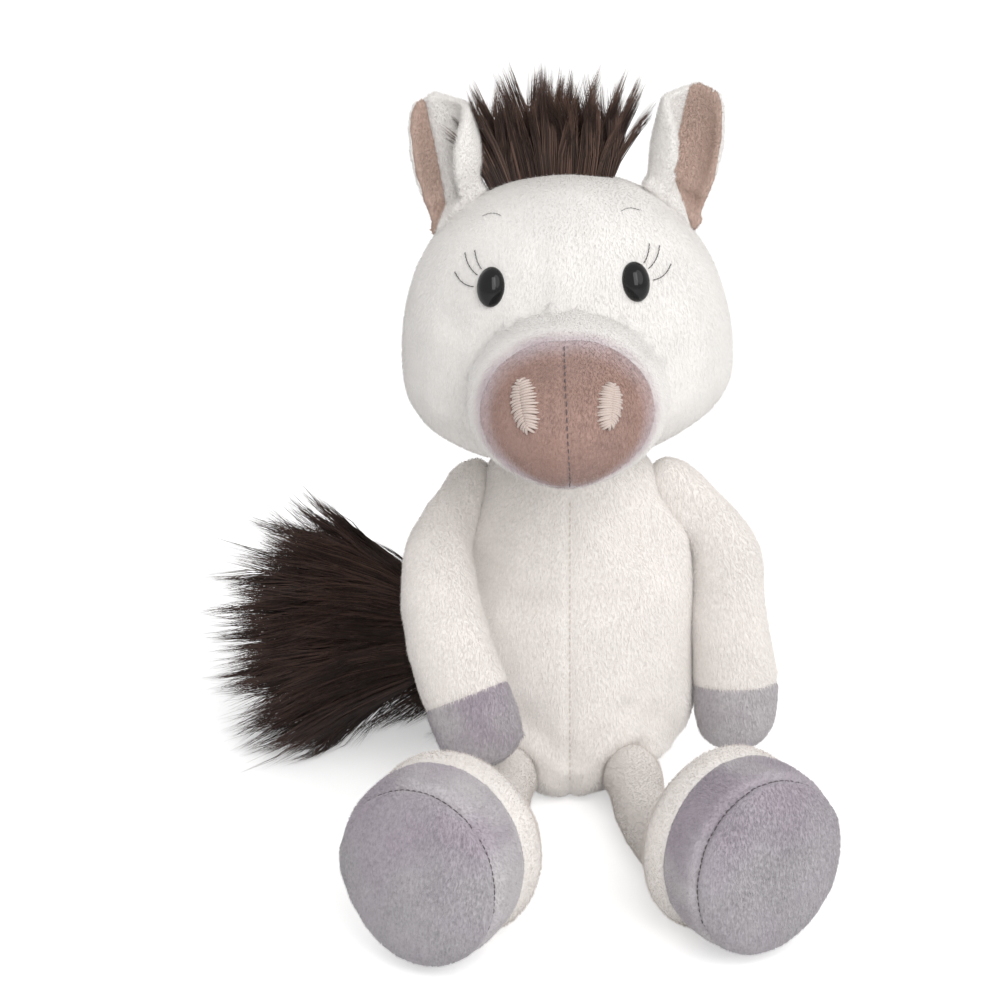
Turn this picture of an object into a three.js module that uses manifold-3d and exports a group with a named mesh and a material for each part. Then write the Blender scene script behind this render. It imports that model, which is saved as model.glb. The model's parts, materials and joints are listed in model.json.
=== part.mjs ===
// A sitting plush horse, in millimetres, +Z up, facing -Y. Its own left side is +X.
// The origin is on the floor, under the middle of the seat.

import * as THREE from 'three';
import { mergeVertices } from 'three/addons/utils/BufferGeometryUtils.js';
import Module from 'manifold-3d';

const wasm = await Module();
wasm.setup();

// Cloth and fits
const clothThickness = 2;
const seamGap = 0.3;
const fillingGap = 0.6;
const socketGap = 0.3;
const floorFlat = 0.5;
const cutOverrun = 20;
const weldDistance = 0.0001;

// Torso
const torsoHalfWidth = 44.5;
const torsoHalfDepth = 40;
const bellyHeight = 38;
const neckHeight = 112;
const neckBack = 8;
const neckBallRadius = 30;
const neckOpeningRadius = 12;
const pelletBagHeight = 24;

// Head, measured from the centre of the neck ball
const headHalfWidth = 61.8;
const headHalfDepth = 49;
const headForward = 5;
const headSide = 1;
const chinRise = 12;
const cheekRise = 47;
const crownRise = 118.5;
const headRoll = THREE.MathUtils.degToRad(2.2);

// Muzzle, along a line that slopes down and forward
const muzzleHalfWidth = 35.5;
const muzzleHalfHeight = 29.5;
const muzzleSlope = THREE.MathUtils.degToRad(4);
const noseForward = 96;
const noseRise = 46.5;
const muzzleLength = 72;
const muzzleRound = 40;
const noseDepth = 17;
const nostrilHalfWidth = 4.8;
const nostrilHalfHeight = 8.4;
const nostrilThickness = 1.6;
const nostrilOut = 15;
const nostrilRise = 7;

// Safety eyes
const eyeHalfWidth = 5;
const eyeHalfHeight = 7.2;
const eyeBulge = 4.2;
const eyeOut = 25.2;
const eyeRise = 86;
const shankRadius = 1.6;
const shankLength = 7;
const washerRadius = 6;
const washerThickness = 1.5;
const washerDepth = 4.2;

// Ears
const earBaseRise = 105.5;
const earBaseHalfLength = 12.5;
const earBaseSlope = THREE.MathUtils.degToRad(46);
const earHeight = 42;
const earHalfWidth = 13;
const earHalfDepth = 9;
const earLayer = 1.2;
const earHemRadius = 3.3;
const earBack = 2;

// Hair
const lockRadius = 5;
const forelockHalfWidth = 19;
const forelockHeight = 36;
const forelockSpread = 8;
const forelockShift = 3;
const maneLockLength = 30;
const maneLowRise = 62;

// Arms: shoulder ball, forearm and hand
const shoulderOut = 41;
const shoulderHeight = 108;
const shoulderBallRadius = 12.5;
const armHoofLength = 27;
const armRound = 14;

// Legs: hip ball, shin on the floor, and foot
const hipOut = 24;
const hipForward = 35;
const hipBallRadius = 12.5;
const footHalfWidth = 30.5;
const footHalfHeight = 33;
const soleRound = 9;
const hoofBandLength = 17;

// Tail
const tailRootOut = 14;
const tailRootHeight = 32;
const tailRootRadius = 8;
const tailSeat = 3;
const tailReach = 88;
const tailWaistOut = 56;
const tailWaistBack = 40;
const tailWaistHeight = 41;
const tailForward = 14;
const tailLockRadius = 9;

// How finely the round forms are divided
const bodySides = 20;
const headSides = 20;
const neckSides = 16;
const neckSocketSides = 24;
const muzzleSides = 16;
const limbSides = 12;
const footSides = 14;
const socketSides = 10;
const lockSides = 5;

const up = new THREE.Vector3(0, 0, 1);
const rightward = new THREE.Vector3(1, 0, 0);
const backward = new THREE.Vector3(0, 1, 0);

// Solids

function solidOf(geometry) {
  const bare = geometry.index ? geometry.toNonIndexed() : geometry.clone();
  bare.deleteAttribute('normal');
  bare.deleteAttribute('uv');
  const merged = mergeVertices(bare, weldDistance);
  const vertProperties = merged.attributes.position.array;
  const triVerts = Uint32Array.from(merged.index.array);
  return new wasm.Manifold(new wasm.Mesh({ numProp: 3, vertProperties, triVerts }));
}

function placed(geometry, x, y, z) {
  return solidOf(geometry.translate(x, y, z));
}

function ball(radius, centre, sides) {
  const sphere = new THREE.SphereGeometry(radius, sides, Math.round(sides / 2));
  return placed(sphere, centre.x, centre.y, centre.z);
}

// A round hollow whose flat faces still clear a ball of the given radius
function hollow(radius, centre, sides) {
  return ball(radius / Math.cos(Math.PI / sides) ** 2, centre, sides);
}

// A round pin from one point to another
function pin(radius, from, to, sides) {
  const span = to.clone().sub(from);
  const cylinder = new THREE.CylinderGeometry(radius, radius, span.length(), sides);
  const turn = new THREE.Quaternion().setFromUnitVectors(backward, span.clone().normalize());
  const middle = from.clone().add(to).multiplyScalar(0.5);
  return placed(cylinder.applyQuaternion(turn), middle.x, middle.y, middle.z);
}

function joined(solids) {
  return solids.reduce((whole, next) => whole.add(next));
}

function cut(solid, cutters) {
  return cutters.reduce((whole, next) => whole.subtract(next), solid);
}

// The space above a height, wide enough for the whole toy
function aboveHeight(height) {
  const wide = 4 * (tailWaistOut + tailReach + crownRise);
  const box = new THREE.BoxGeometry(wide, wide, wide);
  return placed(box, 0, 0, height + wide / 2);
}

// Rings and lofts

// One oval ring of points. The two half axes give its size and its turn.
function ovalRing(centre, across, over, squareness, sides) {
  const points = [];
  for (let i = 0; i < sides; i += 1) {
    const turn = (2 * Math.PI * i) / sides;
    const c = Math.cos(turn);
    const s = Math.sin(turn);
    const sum = Math.abs(c) ** squareness + Math.abs(s) ** squareness;
    const reach = sum ** (-1 / squareness);
    points.push(centre.clone().addScaledVector(across, c * reach).addScaledVector(over, s * reach));
  }
  return points;
}

// Joins rings into one closed skin. The ends are poles, or the last ring meets the first.
function loft(rings, poles) {
  const sides = rings[0].length;
  const points = rings.flat();
  const index = [];
  const rows = poles ? rings.length - 1 : rings.length;
  for (let row = 0; row < rows; row += 1) {
    const here = row * sides;
    const next = ((row + 1) % rings.length) * sides;
    for (let i = 0; i < sides; i += 1) {
      const j = (i + 1) % sides;
      index.push(here + i, here + j, next + j, here + i, next + j, next + i);
    }
  }
  if (poles) {
    const first = points.push(poles[0]) - 1;
    const last = points.push(poles[1]) - 1;
    const end = (rings.length - 1) * sides;
    for (let i = 0; i < sides; i += 1) {
      const j = (i + 1) % sides;
      index.push(first, j, i, last, end + i, end + j);
    }
  }
  const geometry = new THREE.BufferGeometry().setFromPoints(points);
  geometry.setIndex(index);
  return facingOut(geometry);
}

// Turns the faces over where they point inwards
function facingOut(geometry) {
  const position = geometry.attributes.position;
  const corner = [new THREE.Vector3(), new THREE.Vector3(), new THREE.Vector3()];
  const index = Array.from(geometry.index.array);
  let volume = 0;
  for (let i = 0; i < index.length; i += 3) {
    corner.forEach((point, k) => point.fromBufferAttribute(position, index[i + k]));
    volume += corner[0].dot(corner[1].clone().cross(corner[2]));
  }
  if (volume < 0) {
    index.reverse();
    geometry.setIndex(index);
  }
  return solidOf(geometry);
}

// A smooth curve through a table of shares: the first column is the place, the rest are values
function shareAt(shares, place, column) {
  const last = shares.length - 1;
  let i = 0;
  while (i < last - 1 && place > shares[i + 1][0]) {
    i += 1;
  }
  const rows = [i - 1, i, i + 1, i + 2].map((k) => shares[Math.min(last, Math.max(0, k))]);
  const span = rows[2][0] - rows[1][0];
  const t = Math.min(1, Math.max(0, (place - rows[1][0]) / span));
  const slope = (a, b) => ((b[column] - a[column]) * span) / Math.max(span, b[0] - a[0]);
  const leave = slope(rows[0], rows[2]);
  const arrive = slope(rows[1], rows[3]);
  const t2 = t * t;
  const t3 = t2 * t;
  const from = rows[1][column] * (2 * t3 - 3 * t2 + 1) + leave * (t3 - 2 * t2 + t);
  return from + rows[2][column] * (3 * t2 - 2 * t3) + arrive * (t3 - t2);
}

// How far a rounded end still reaches, from 0 at its tip to 1 where the round stops
function roundedEnd(fromTip, depth, fullness) {
  if (fromTip >= depth) {
    return 1;
  }
  const q = 1 - Math.max(0, fromTip) / depth;
  return (1 - q ** fullness) ** (1 / fullness);
}

// Places along a rounded end, closer together at its tip
function endPlaces(depth, count) {
  const places = [];
  for (let i = 1; i <= count; i += 1) {
    places.push(depth * (1 - Math.cos((Math.PI / 2) * (i / count))));
  }
  return places;
}

// Stuffed forms

// A stuffed tube that follows a curve. Inset gives its lining or its filling.
class StuffedTube {
  constructor(form) {
    Object.assign(this, form);
    this.length = this.lead + this.curve.getLength();
  }

  // The lead is the half ball before the curve starts. Lift raises the middle line.
  pointAt(place) {
    const share = (place - this.lead) / (this.length - this.lead);
    const point = this.curve.getPointAt(Math.min(1, Math.max(0, share)));
    if (share < 0) {
      point.addScaledVector(this.curve.getTangentAt(0), place - this.lead);
    }
    return this.lift ? point.addScaledVector(up, this.lift(place / this.length)) : point;
  }

  alongAt(place) {
    const share = (place - this.lead) / (this.length - this.lead);
    return this.curve.getTangentAt(Math.min(1, Math.max(0, share)));
  }

  ring(place, inset) {
    const along = this.alongAt(place);
    const across = this.side.clone().addScaledVector(along, -this.side.dot(along)).normalize();
    const over = along.clone().cross(across);
    const share = place / this.length;
    const tip = roundedEnd(place - inset, this.startRound - inset, 2);
    const toe = roundedEnd(this.length - inset - place, this.endRound - inset, this.fullness);
    const width = (this.halfWidth(share) - inset) * tip * toe;
    const height = (this.halfHeight(share) - inset) * tip * toe;
    const centre = this.pointAt(place);
    return ovalRing(centre, across.multiplyScalar(width), over.multiplyScalar(height), 2, this.sides);
  }

  // The rings between two places, with the rounded ends divided as they need
  rings(from, to, inset, steps, endSteps) {
    const places = [];
    const startEnds = this.startRound - inset;
    const endEnds = this.endRound - inset;
    endPlaces(startEnds, endSteps).forEach((d) => places.push(inset + d));
    const middle = this.length - this.startRound - this.endRound;
    for (let i = 1; i < steps; i += 1) {
      places.push(this.startRound + (middle * i) / steps);
    }
    endPlaces(endEnds, endSteps).reverse().forEach((d) => places.push(this.length - inset - d));
    const margin = this.length / (8 * steps);
    const kept = places.filter((place) => place > from + margin && place < to - margin);
    const low = from > inset ? [from] : [];
    const high = to < this.length - inset ? [to] : [];
    const tipStep = from > inset ? [] : places.filter((place) => place <= from + margin && place > from);
    const toeStep = to < this.length - inset ? [] : places.filter((place) => place >= to - margin && place < to);
    return [...low, ...tipStep, ...kept, ...toeStep, ...high].map((place) => this.ring(place, inset));
  }

  solid(inset, steps, endSteps) {
    const rings = this.rings(inset, this.length - inset, inset, steps, endSteps);
    return loft(rings, [this.pointAt(inset), this.pointAt(this.length - inset)]);
  }

  // A cloth cup from the start to a seam
  startCup(seam, wall, steps, endSteps) {
    const outer = this.rings(0, seam, 0, steps, endSteps);
    const inner = this.rings(wall, seam, wall, steps, endSteps).reverse();
    return loft([...outer, ...inner], [this.pointAt(0), this.pointAt(wall)]);
  }

  // A cloth cup from a seam to the end
  endCup(seam, wall, steps, endSteps) {
    const outer = this.rings(seam, this.length, 0, steps, endSteps).reverse();
    const inner = this.rings(seam, this.length - wall, wall, steps, endSteps);
    return loft([...outer, ...inner], [this.pointAt(this.length), this.pointAt(this.length - wall)]);
  }

  // A cloth band between two seams
  band(from, to, wall, steps, endSteps) {
    const outer = this.rings(from, to, 0, steps, endSteps);
    const inner = this.rings(from, to, wall, steps, endSteps).reverse();
    return loft([...outer, ...inner], null);
  }
}

// Torso

// Height from the belly to the neck, half width and half depth
const torsoShares = [
  [0, 1, 1],
  [0.42, 0.995, 0.95],
  [0.73, 0.87, 0.82],
  [0.89, 0.765, 0.76],
  [1, 0.69, 0.74],
];
const torsoSeatFullness = 3;

function torsoRing(height, inset) {
  const share = (height - bellyHeight) / (neckHeight - bellyHeight);
  const seat = roundedEnd(height + floorFlat - inset, bellyHeight + floorFlat - inset, torsoSeatFullness);
  const width = (torsoHalfWidth * shareAt(torsoShares, share, 1) - inset) * seat;
  const depth = (torsoHalfDepth * shareAt(torsoShares, share, 2) - inset) * seat;
  const centre = new THREE.Vector3(0, neckBack * Math.max(0, share), height);
  const across = rightward.clone().multiplyScalar(width);
  return ovalRing(centre, across, backward.clone().multiplyScalar(depth), 2, bodySides);
}

const neckCentre = new THREE.Vector3(0, neckBack, neckHeight);

// The torso without its sockets: a pear shape with the neck ball on top
function torsoForm(inset) {
  const bottom = inset - floorFlat;
  const rings = endPlaces(bellyHeight - bottom, 4).map((d) => torsoRing(bottom + d, inset));
  const steps = 5;
  for (let i = 1; i <= steps; i += 1) {
    rings.push(torsoRing(bellyHeight + ((neckHeight - bellyHeight) * i) / steps, inset));
  }
  const top = neckHeight + (neckBallRadius - inset) / 2;
  const poles = [new THREE.Vector3(0, 0, bottom), new THREE.Vector3(0, neckBack, top)];
  return loft(rings, poles).add(ball(neckBallRadius - inset, neckCentre, neckSides));
}

function shoulderCentre(hand) {
  return new THREE.Vector3(hand * shoulderOut, neckBack, shoulderHeight);
}

function hipCentre(hand) {
  return new THREE.Vector3(hand * hipOut, -hipForward, hipBallRadius - floorFlat);
}

const tailShare = (tailRootHeight - bellyHeight) / (neckHeight - bellyHeight);
const tailBack = torsoHalfDepth * shareAt(torsoShares, tailShare, 2) + tailSeat;
const tailRoot = new THREE.Vector3(-tailRootOut, tailBack, tailRootHeight);

// Round dimples that the limbs and the tail sit in
function torsoSockets(wall) {
  const sockets = [hollow(tailRootRadius + socketGap + wall, tailRoot, socketSides)];
  for (const hand of [1, -1]) {
    sockets.push(hollow(shoulderBallRadius + socketGap + wall, shoulderCentre(hand), socketSides));
    sockets.push(hollow(hipBallRadius + socketGap + wall, hipCentre(hand), socketSides));
  }
  return sockets;
}

function torsoPieces() {
  const floor = aboveHeight(0);
  const outer = cut(torsoForm(0), torsoSockets(0)).intersect(floor);
  const inner = cut(torsoForm(clothThickness), torsoSockets(clothThickness));
  const coreInset = clothThickness + fillingGap;
  const core = cut(torsoForm(coreInset), torsoSockets(coreInset));
  const neckTop = neckHeight + neckBallRadius + cutOverrun;
  const opening = pin(neckOpeningRadius, neckCentre, new THREE.Vector3(0, neckBack, neckTop), limbSides);
  const bagTop = aboveHeight(pelletBagHeight);
  const filling = core.intersect(aboveHeight(pelletBagHeight + seamGap));
  return {
    torso_skin: cut(outer, [inner, opening]),
    torso_stuffing: filling,
    pellet_bag: core.subtract(bagTop),
  };
}

// Head

const headLowFullness = 2.3;
const headHighFullness = 2.25;

function headHalf(rise, inset) {
  const low = roundedEnd(rise - chinRise - inset, cheekRise - chinRise - inset, headLowFullness);
  const high = roundedEnd(crownRise - inset - rise, crownRise - cheekRise - inset, headHighFullness);
  return { width: (headHalfWidth - inset) * low * high, depth: (headHalfDepth - inset) * low * high };
}

function headForm(inset) {
  const low = endPlaces(cheekRise - chinRise - inset, 5).map((d) => chinRise + inset + d);
  const high = endPlaces(crownRise - cheekRise - inset, 6).map((d) => crownRise - inset - d);
  const rises = [...low, ...high.slice(0, -1).reverse()];
  const rings = rises.map((rise) => {
    const half = headHalf(rise, inset);
    const centre = new THREE.Vector3(0, -headForward, rise);
    const across = rightward.clone().multiplyScalar(half.width);
    return ovalRing(centre, across, backward.clone().multiplyScalar(half.depth), 2, headSides);
  });
  const poles = [chinRise + inset, crownRise - inset];
  return loft(rings, poles.map((rise) => new THREE.Vector3(0, -headForward, rise)));
}

// The front of the head at a distance out and a height, and the way it faces
function headFront(out, rise) {
  const pointAt = (x, z) => {
    const half = headHalf(z, 0);
    const depth = half.depth * Math.sqrt(Math.max(0, 1 - (x / half.width) ** 2));
    return new THREE.Vector3(x, -headForward - depth, z);
  };
  const nudge = clothThickness / 10;
  const point = pointAt(out, rise);
  const alongX = pointAt(out + nudge, rise).sub(point);
  const alongZ = pointAt(out, rise + nudge).sub(point);
  return { point, facing: alongX.cross(alongZ).normalize() };
}

// Places on the middle line of the head, from the crown down its back
function headBack(rise) {
  return new THREE.Vector3(0, headHalf(rise, 0).depth - headForward, rise);
}

// Muzzle

const noseTip = new THREE.Vector3(0, -noseForward, noseRise);
const muzzleWay = new THREE.Vector3(0, -Math.cos(muzzleSlope), -Math.sin(muzzleSlope));
const muzzleStart = noseTip.clone().addScaledVector(muzzleWay, -muzzleLength);
// Place along the muzzle, and its girth there
const muzzleShares = [
  [0, 0.9],
  [0.4, 0.97],
  [0.6, 1],
  [1, 1],
];
const muzzle = new StuffedTube({
  curve: new THREE.LineCurve3(muzzleStart, noseTip),
  lead: 0,
  side: rightward,
  halfWidth: (share) => muzzleHalfWidth * shareAt(muzzleShares, share, 1),
  halfHeight: (share) => muzzleHalfHeight * shareAt(muzzleShares, share, 1),
  startRound: muzzleHalfHeight / 2,
  endRound: muzzleRound,
  fullness: 2,
  sides: muzzleSides,
});
const muzzleSteps = 4;
const muzzleEndSteps = 5;
const noseSeam = muzzle.length - noseDepth;

// The head sits a little to one side of its neck
const neckInHead = new THREE.Vector3(-headSide, 0, 0);

function headCavities(wall) {
  return [hollow(neckBallRadius + socketGap + wall, neckInHead, neckSocketSides)];
}

// Safety eyes: a glossy dome on a shank that goes through the cloth into its washer
function eyeParts(hand) {
  const { point, facing } = headFront(hand * eyeOut, eyeRise);
  const dome = new THREE.SphereGeometry(1, 12, 8).scale(eyeHalfWidth, eyeBulge, eyeHalfHeight);
  const turn = new THREE.Matrix4().lookAt(facing, new THREE.Vector3(), up);
  const upright = new THREE.Matrix4().makeRotationX(-Math.PI / 2);
  dome.applyMatrix4(turn.multiply(upright));
  const seat = point.clone().addScaledVector(facing, seamGap);
  const inwards = (depth) => point.clone().addScaledVector(facing, -depth);
  const pegEnd = inwards(shankLength);
  const outerHead = headForm(-seamGap);
  const glass = placed(dome, seat.x, seat.y, seat.z).subtract(outerHead);
  const washerBack = inwards(washerDepth + washerThickness);
  const washer = pin(washerRadius, inwards(washerDepth), washerBack, 12);
  return {
    eye: glass.add(pin(shankRadius, seat.clone().addScaledVector(facing, seamGap), pegEnd, 10)),
    washer: washer.subtract(pin(shankRadius + seamGap, point, inwards(2 * shankLength), 10)),
    hole: pin(shankRadius + seamGap, seat.clone().addScaledVector(facing, eyeBulge), pegEnd, 10),
    pocket: pin(washerRadius + seamGap, point, inwards(shankLength + seamGap), 12),
  };
}

// Embroidered nostril: a raised oval of thread on the nose
function nostril(hand) {
  const noseUp = new THREE.Vector3(0, -Math.sin(muzzleSlope), Math.cos(muzzleSlope));
  const offset = rightward.clone().multiplyScalar(hand * nostrilOut).addScaledVector(noseUp, nostrilRise);
  const from = noseTip.clone().add(offset).addScaledVector(muzzleWay, -noseDepth - muzzleRound / 2);
  const to = noseTip.clone().add(offset).addScaledVector(muzzleWay, muzzleRound);
  const ends = [from, to].map((centre) => {
    const across = rightward.clone().multiplyScalar(nostrilHalfWidth);
    const tall = noseUp.clone().multiplyScalar(nostrilHalfHeight);
    return ovalRing(centre, across, tall, 2, limbSides);
  });
  const post = loft(ends, [from, to]);
  const under = muzzle.solid(-seamGap, muzzleSteps, muzzleEndSteps);
  const over = muzzle.solid(-seamGap - nostrilThickness, muzzleSteps, muzzleEndSteps);
  return post.intersect(over).subtract(under);
}

// Ears

// Each ear: how far out its base lies and how far its tip leans out
const earLeft = { hand: 1, out: 40, lean: 9.4 };
const earRight = { hand: -1, out: 37, lean: 6 };
const earAlong = new THREE.Vector3(Math.cos(earBaseSlope), 0, -Math.sin(earBaseSlope));

function earBase(ear) {
  return new THREE.Vector3(ear.out, -earBack, earBaseRise);
}

// Height, how far the ring has turned level, half width, half depth and lean
const earShares = [
  [0, 0, 0.96, 0.3, 0],
  [0.1, 0.1, 0.96, 0.42, 0.15],
  [0.3, 0.5, 1, 0.8, 0.45],
  [0.55, 0.85, 1, 1, 0.7],
  [0.8, 1, 0.94, 0.9, 0.9],
  [1, 1, 0.85, 0.7, 1],
];
const earOpenTurn = THREE.MathUtils.degToRad(-4);
const earFoldTurn = THREE.MathUtils.degToRad(260);
const earTipTurn = THREE.MathUtils.degToRad(85);
const earFullness = 2.8;
const earAcross = 9;
const earRows = 7;

// A point of the ear, at a height share and an angle round its rolled section
function earPoint(ear, share, turn, inset) {
  const level = shareAt(earShares, share, 1);
  const width = earHalfWidth * shareAt(earShares, share, 2) - inset;
  const depth = earHalfDepth * shareAt(earShares, share, 3) - inset;
  const slope = earBaseSlope * (1 - level);
  const across = new THREE.Vector3(Math.cos(slope), 0, -Math.sin(slope));
  const centre = earBase(ear);
  centre.x += ear.lean * shareAt(earShares, share, 4);
  centre.z += earHeight * share;
  centre.addScaledVector(across, Math.cos(turn) * width);
  return centre.addScaledVector(backward, Math.sin(turn) * depth);
}

// One cloth leaf of the ear, between two depths from its outer face
function earLeaf(ear, shallow, deep, firstRow) {
  const faces = [[], []];
  for (let row = firstRow; row <= earRows; row += 1) {
    const share = 1 - (1 - row / earRows) ** 1.25;
    const spread = row === earRows ? 0.02 : (1 - share ** earFullness) ** (1 / earFullness);
    for (let i = 0; i <= earAcross; i += 1) {
      const open = earTipTurn + (earOpenTurn - earTipTurn) * spread;
      const fold = earTipTurn + (earFoldTurn - earTipTurn) * spread;
      const turn = open + ((fold - open) * i) / earAcross;
      faces[0].push(earPoint(ear, share, turn, shallow));
      faces[1].push(earPoint(ear, share, turn, deep));
    }
  }
  // Each row becomes a ring: out along the outer face and back along the inner one
  const rings = [];
  const columns = earAcross + 1;
  for (let row = 0; row <= earRows - firstRow; row += 1) {
    const outside = faces[0].slice(row * columns, (row + 1) * columns);
    const inside = faces[1].slice(row * columns, (row + 1) * columns).reverse();
    rings.push([...outside, ...inside]);
  }
  return flatLoft(rings);
}

// A loft of thin rings, each end closed by a strip between its two long sides
function flatLoft(rings) {
  const sides = rings[0].length;
  const index = [];
  for (let row = 0; row < rings.length - 1; row += 1) {
    for (let i = 0; i < sides; i += 1) {
      const j = (i + 1) % sides;
      const here = row * sides;
      const [a, b, c, d] = [here + i, here + j, here + sides + j, here + sides + i];
      // Both long sides are split the same way, so that nested leaves stay apart
      index.push(...(i < sides / 2 ? [a, b, c, a, c, d] : [a, b, d, b, c, d]));
    }
  }
  const end = (rings.length - 1) * sides;
  for (let i = 0; i < sides / 2 - 1; i += 1) {
    const j = sides - 1 - i;
    index.push(i, j, i + 1, i + 1, j, j - 1);
    index.push(end + i, end + i + 1, end + j, end + i + 1, end + j - 1, end + j);
  }
  const geometry = new THREE.BufferGeometry().setFromPoints(rings.flat());
  geometry.setIndex(index);
  return facingOut(geometry);
}

// The rolled hem that the ear turns on, or the groove for it
function earHem(ear, radius, spare) {
  const reach = earBaseHalfLength + spare;
  const from = earBase(ear).addScaledVector(earAlong, -reach);
  const to = earBase(ear).addScaledVector(earAlong, reach);
  return onItsSide(ear, pin(radius, from, to, limbSides));
}

function onItsSide(ear, solid) {
  return ear.hand > 0 ? solid : mirrored(solid);
}

function earPieces(ear, side) {
  const outer = onItsSide(ear, earLeaf(ear, 0, earLayer, 0));
  const inner = onItsSide(ear, earLeaf(ear, earLayer + seamGap, 2 * earLayer + seamGap, 1));
  return {
    [`ear_outer_${side}`]: outer.add(earHem(ear, earHemRadius, 0)),
    [`ear_lining_${side}`]: inner.subtract(earHem(ear, earHemRadius + seamGap, seamGap)),
  };
}

// Moves a solid to the other side of the middle
function mirrored(solid) {
  const mesh = solid.getMesh();
  const vertProperties = mesh.vertProperties.map((value, i) => (i % 3 === 0 ? -value : value));
  const triVerts = Uint32Array.from(mesh.triVerts).reverse();
  return new wasm.Manifold(new wasm.Mesh({ numProp: 3, vertProperties, triVerts }));
}

// Hair: tapered locks that grow out of one root line

function hairLock(from, bend, tip, rootRadius, fatness) {
  const curve = new THREE.QuadraticBezierCurve3(from, bend, tip);
  const steps = 4;
  const along = tip.clone().sub(from).normalize();
  const side = Math.abs(along.y) > Math.abs(along.x) ? rightward : backward;
  const rings = [];
  for (let i = 0; i < steps; i += 1) {
    const share = i / steps;
    const way = curve.getTangentAt(share);
    const across = side.clone().addScaledVector(way, -side.dot(way)).normalize();
    const over = way.clone().cross(across);
    const swell = 1 + fatness * Math.sin(Math.PI * share);
    const radius = rootRadius * swell * (1 - share * share);
    const centre = curve.getPointAt(share);
    rings.push(ovalRing(centre, across.multiplyScalar(radius), over.multiplyScalar(radius), 2, lockSides));
  }
  const root = from.clone().addScaledVector(curve.getTangentAt(0), -rootRadius / 2);
  return loft(rings, [root, tip]);
}

function forelockSolid() {
  const count = 9;
  const locks = [];
  for (let i = 0; i < count; i += 1) {
    const share = (2 * i) / (count - 1) - 1;
    const out = forelockHalfWidth * share - forelockShift;
    const odd = i % 2;
    const dip = crownRise - lockRadius * (1 + share * share);
    const from = new THREE.Vector3(out, -headForward + lockRadius * (odd - 1), dip);
    const lean = forelockSpread * share;
    const rise = forelockHeight * (1 - 0.18 * share * share - 0.12 * odd);
    const bend = from.clone().add(new THREE.Vector3(lean / 4, lockRadius / 2, rise / 2));
    const tip = from.clone().add(new THREE.Vector3(lean, -lockRadius * odd, rise + lockRadius));
    locks.push(hairLock(from, bend, tip, lockRadius, 0.25));
  }
  return joined(locks);
}

function maneSolid() {
  const count = 8;
  const highest = crownRise - 1.6 * lockRadius;
  const locks = [];
  for (let i = 0; i < count; i += 1) {
    const share = i / (count - 1);
    const from = headBack(highest + (maneLowRise - highest) * share);
    from.y -= lockRadius / 2;
    const side = i % 2 ? 1 : -1;
    const bend = from.clone().add(new THREE.Vector3(0, maneLockLength * 0.5, 0));
    const fall = maneLockLength * (0.2 + 0.5 * share);
    const tip = from.clone().add(new THREE.Vector3(side * lockRadius, maneLockLength * 0.7, -fall));
    locks.push(hairLock(from, bend, tip, lockRadius * 1.25, 0.2));
  }
  return joined(locks);
}

function headPieces() {
  const crownCut = headForm(-seamGap);
  const muzzleCut = muzzle.solid(-seamGap, muzzleSteps, muzzleEndSteps);
  const coreInset = clothThickness + fillingGap;
  const ears = [earLeft, earRight];
  const grooves = ears.map((ear) => earHem(ear, earHemRadius + socketGap, socketGap));
  const deepGrooves = ears.map((ear) => earHem(ear, earHemRadius + 2 * socketGap, 2 * socketGap));
  const eyes = { left: eyeParts(1), right: eyeParts(-1) };
  const holes = [eyes.left.hole, eyes.right.hole];
  const pockets = [eyes.left.pocket, eyes.right.pocket];
  const inner = cut(headForm(clothThickness), headCavities(clothThickness));
  const skin = cut(headForm(0), [...headCavities(0), inner, muzzleCut, ...holes, ...grooves]);
  const core = cut(headForm(coreInset), [...headCavities(coreInset), ...pockets, ...deepGrooves]);
  const muzzleCore = muzzle.solid(coreInset, muzzleSteps, muzzleEndSteps);
  const filling = core.add(cut(muzzleCore, headCavities(coreInset)));
  const band = muzzle.band(muzzleHalfHeight / 2, noseSeam - seamGap / 2, clothThickness, muzzleSteps, muzzleEndSteps);
  return {
    head_skin: skin,
    head_stuffing: filling,
    muzzle_skin: band.subtract(crownCut),
    nose_patch: muzzle.endCup(noseSeam + seamGap / 2, clothThickness, muzzleSteps, muzzleEndSteps),
    nostril_left: nostril(1),
    nostril_right: nostril(-1),
    eye_left: eyes.left.eye,
    eye_right: eyes.right.eye,
    eye_washer_left: eyes.left.washer,
    eye_washer_right: eyes.right.washer,
    forelock: forelockSolid().subtract(crownCut),
    mane: maneSolid().subtract(crownCut),
    ...earPieces(earLeft, 'left'),
    ...earPieces(earRight, 'right'),
  };
}

// Arms

// Each arm: where it goes out, forward of the shoulder and up, and how thick the hand is
const armLeft = {
  hand: 1,
  upperOut: 60,
  upperForward: 5,
  upperHeight: 99,
  elbowOut: 63,
  elbowForward: 17,
  elbowHeight: 52,
  handOut: 62,
  handForward: 19,
  handHeight: 11,
  handHalfWidth: 16.4,
  handHalfDepth: 14.5,
};
const armRight = {
  hand: -1,
  upperOut: 66,
  upperForward: 23,
  upperHeight: 105,
  elbowOut: 42,
  elbowForward: 70,
  elbowHeight: 72,
  handOut: 27.5,
  handForward: 68,
  handHeight: 28,
  handHalfWidth: 17.8,
  handHalfDepth: 14,
};
// Place along the arm, half width and half depth as shares of the hand's
const armShares = [
  [0, 0.66, 0.8],
  [0.2, 0.68, 0.84],
  [0.4, 0.84, 0.98],
  [0.6, 0.95, 1.05],
  [0.78, 1, 1.04],
  [1, 1.02, 1],
];

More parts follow.
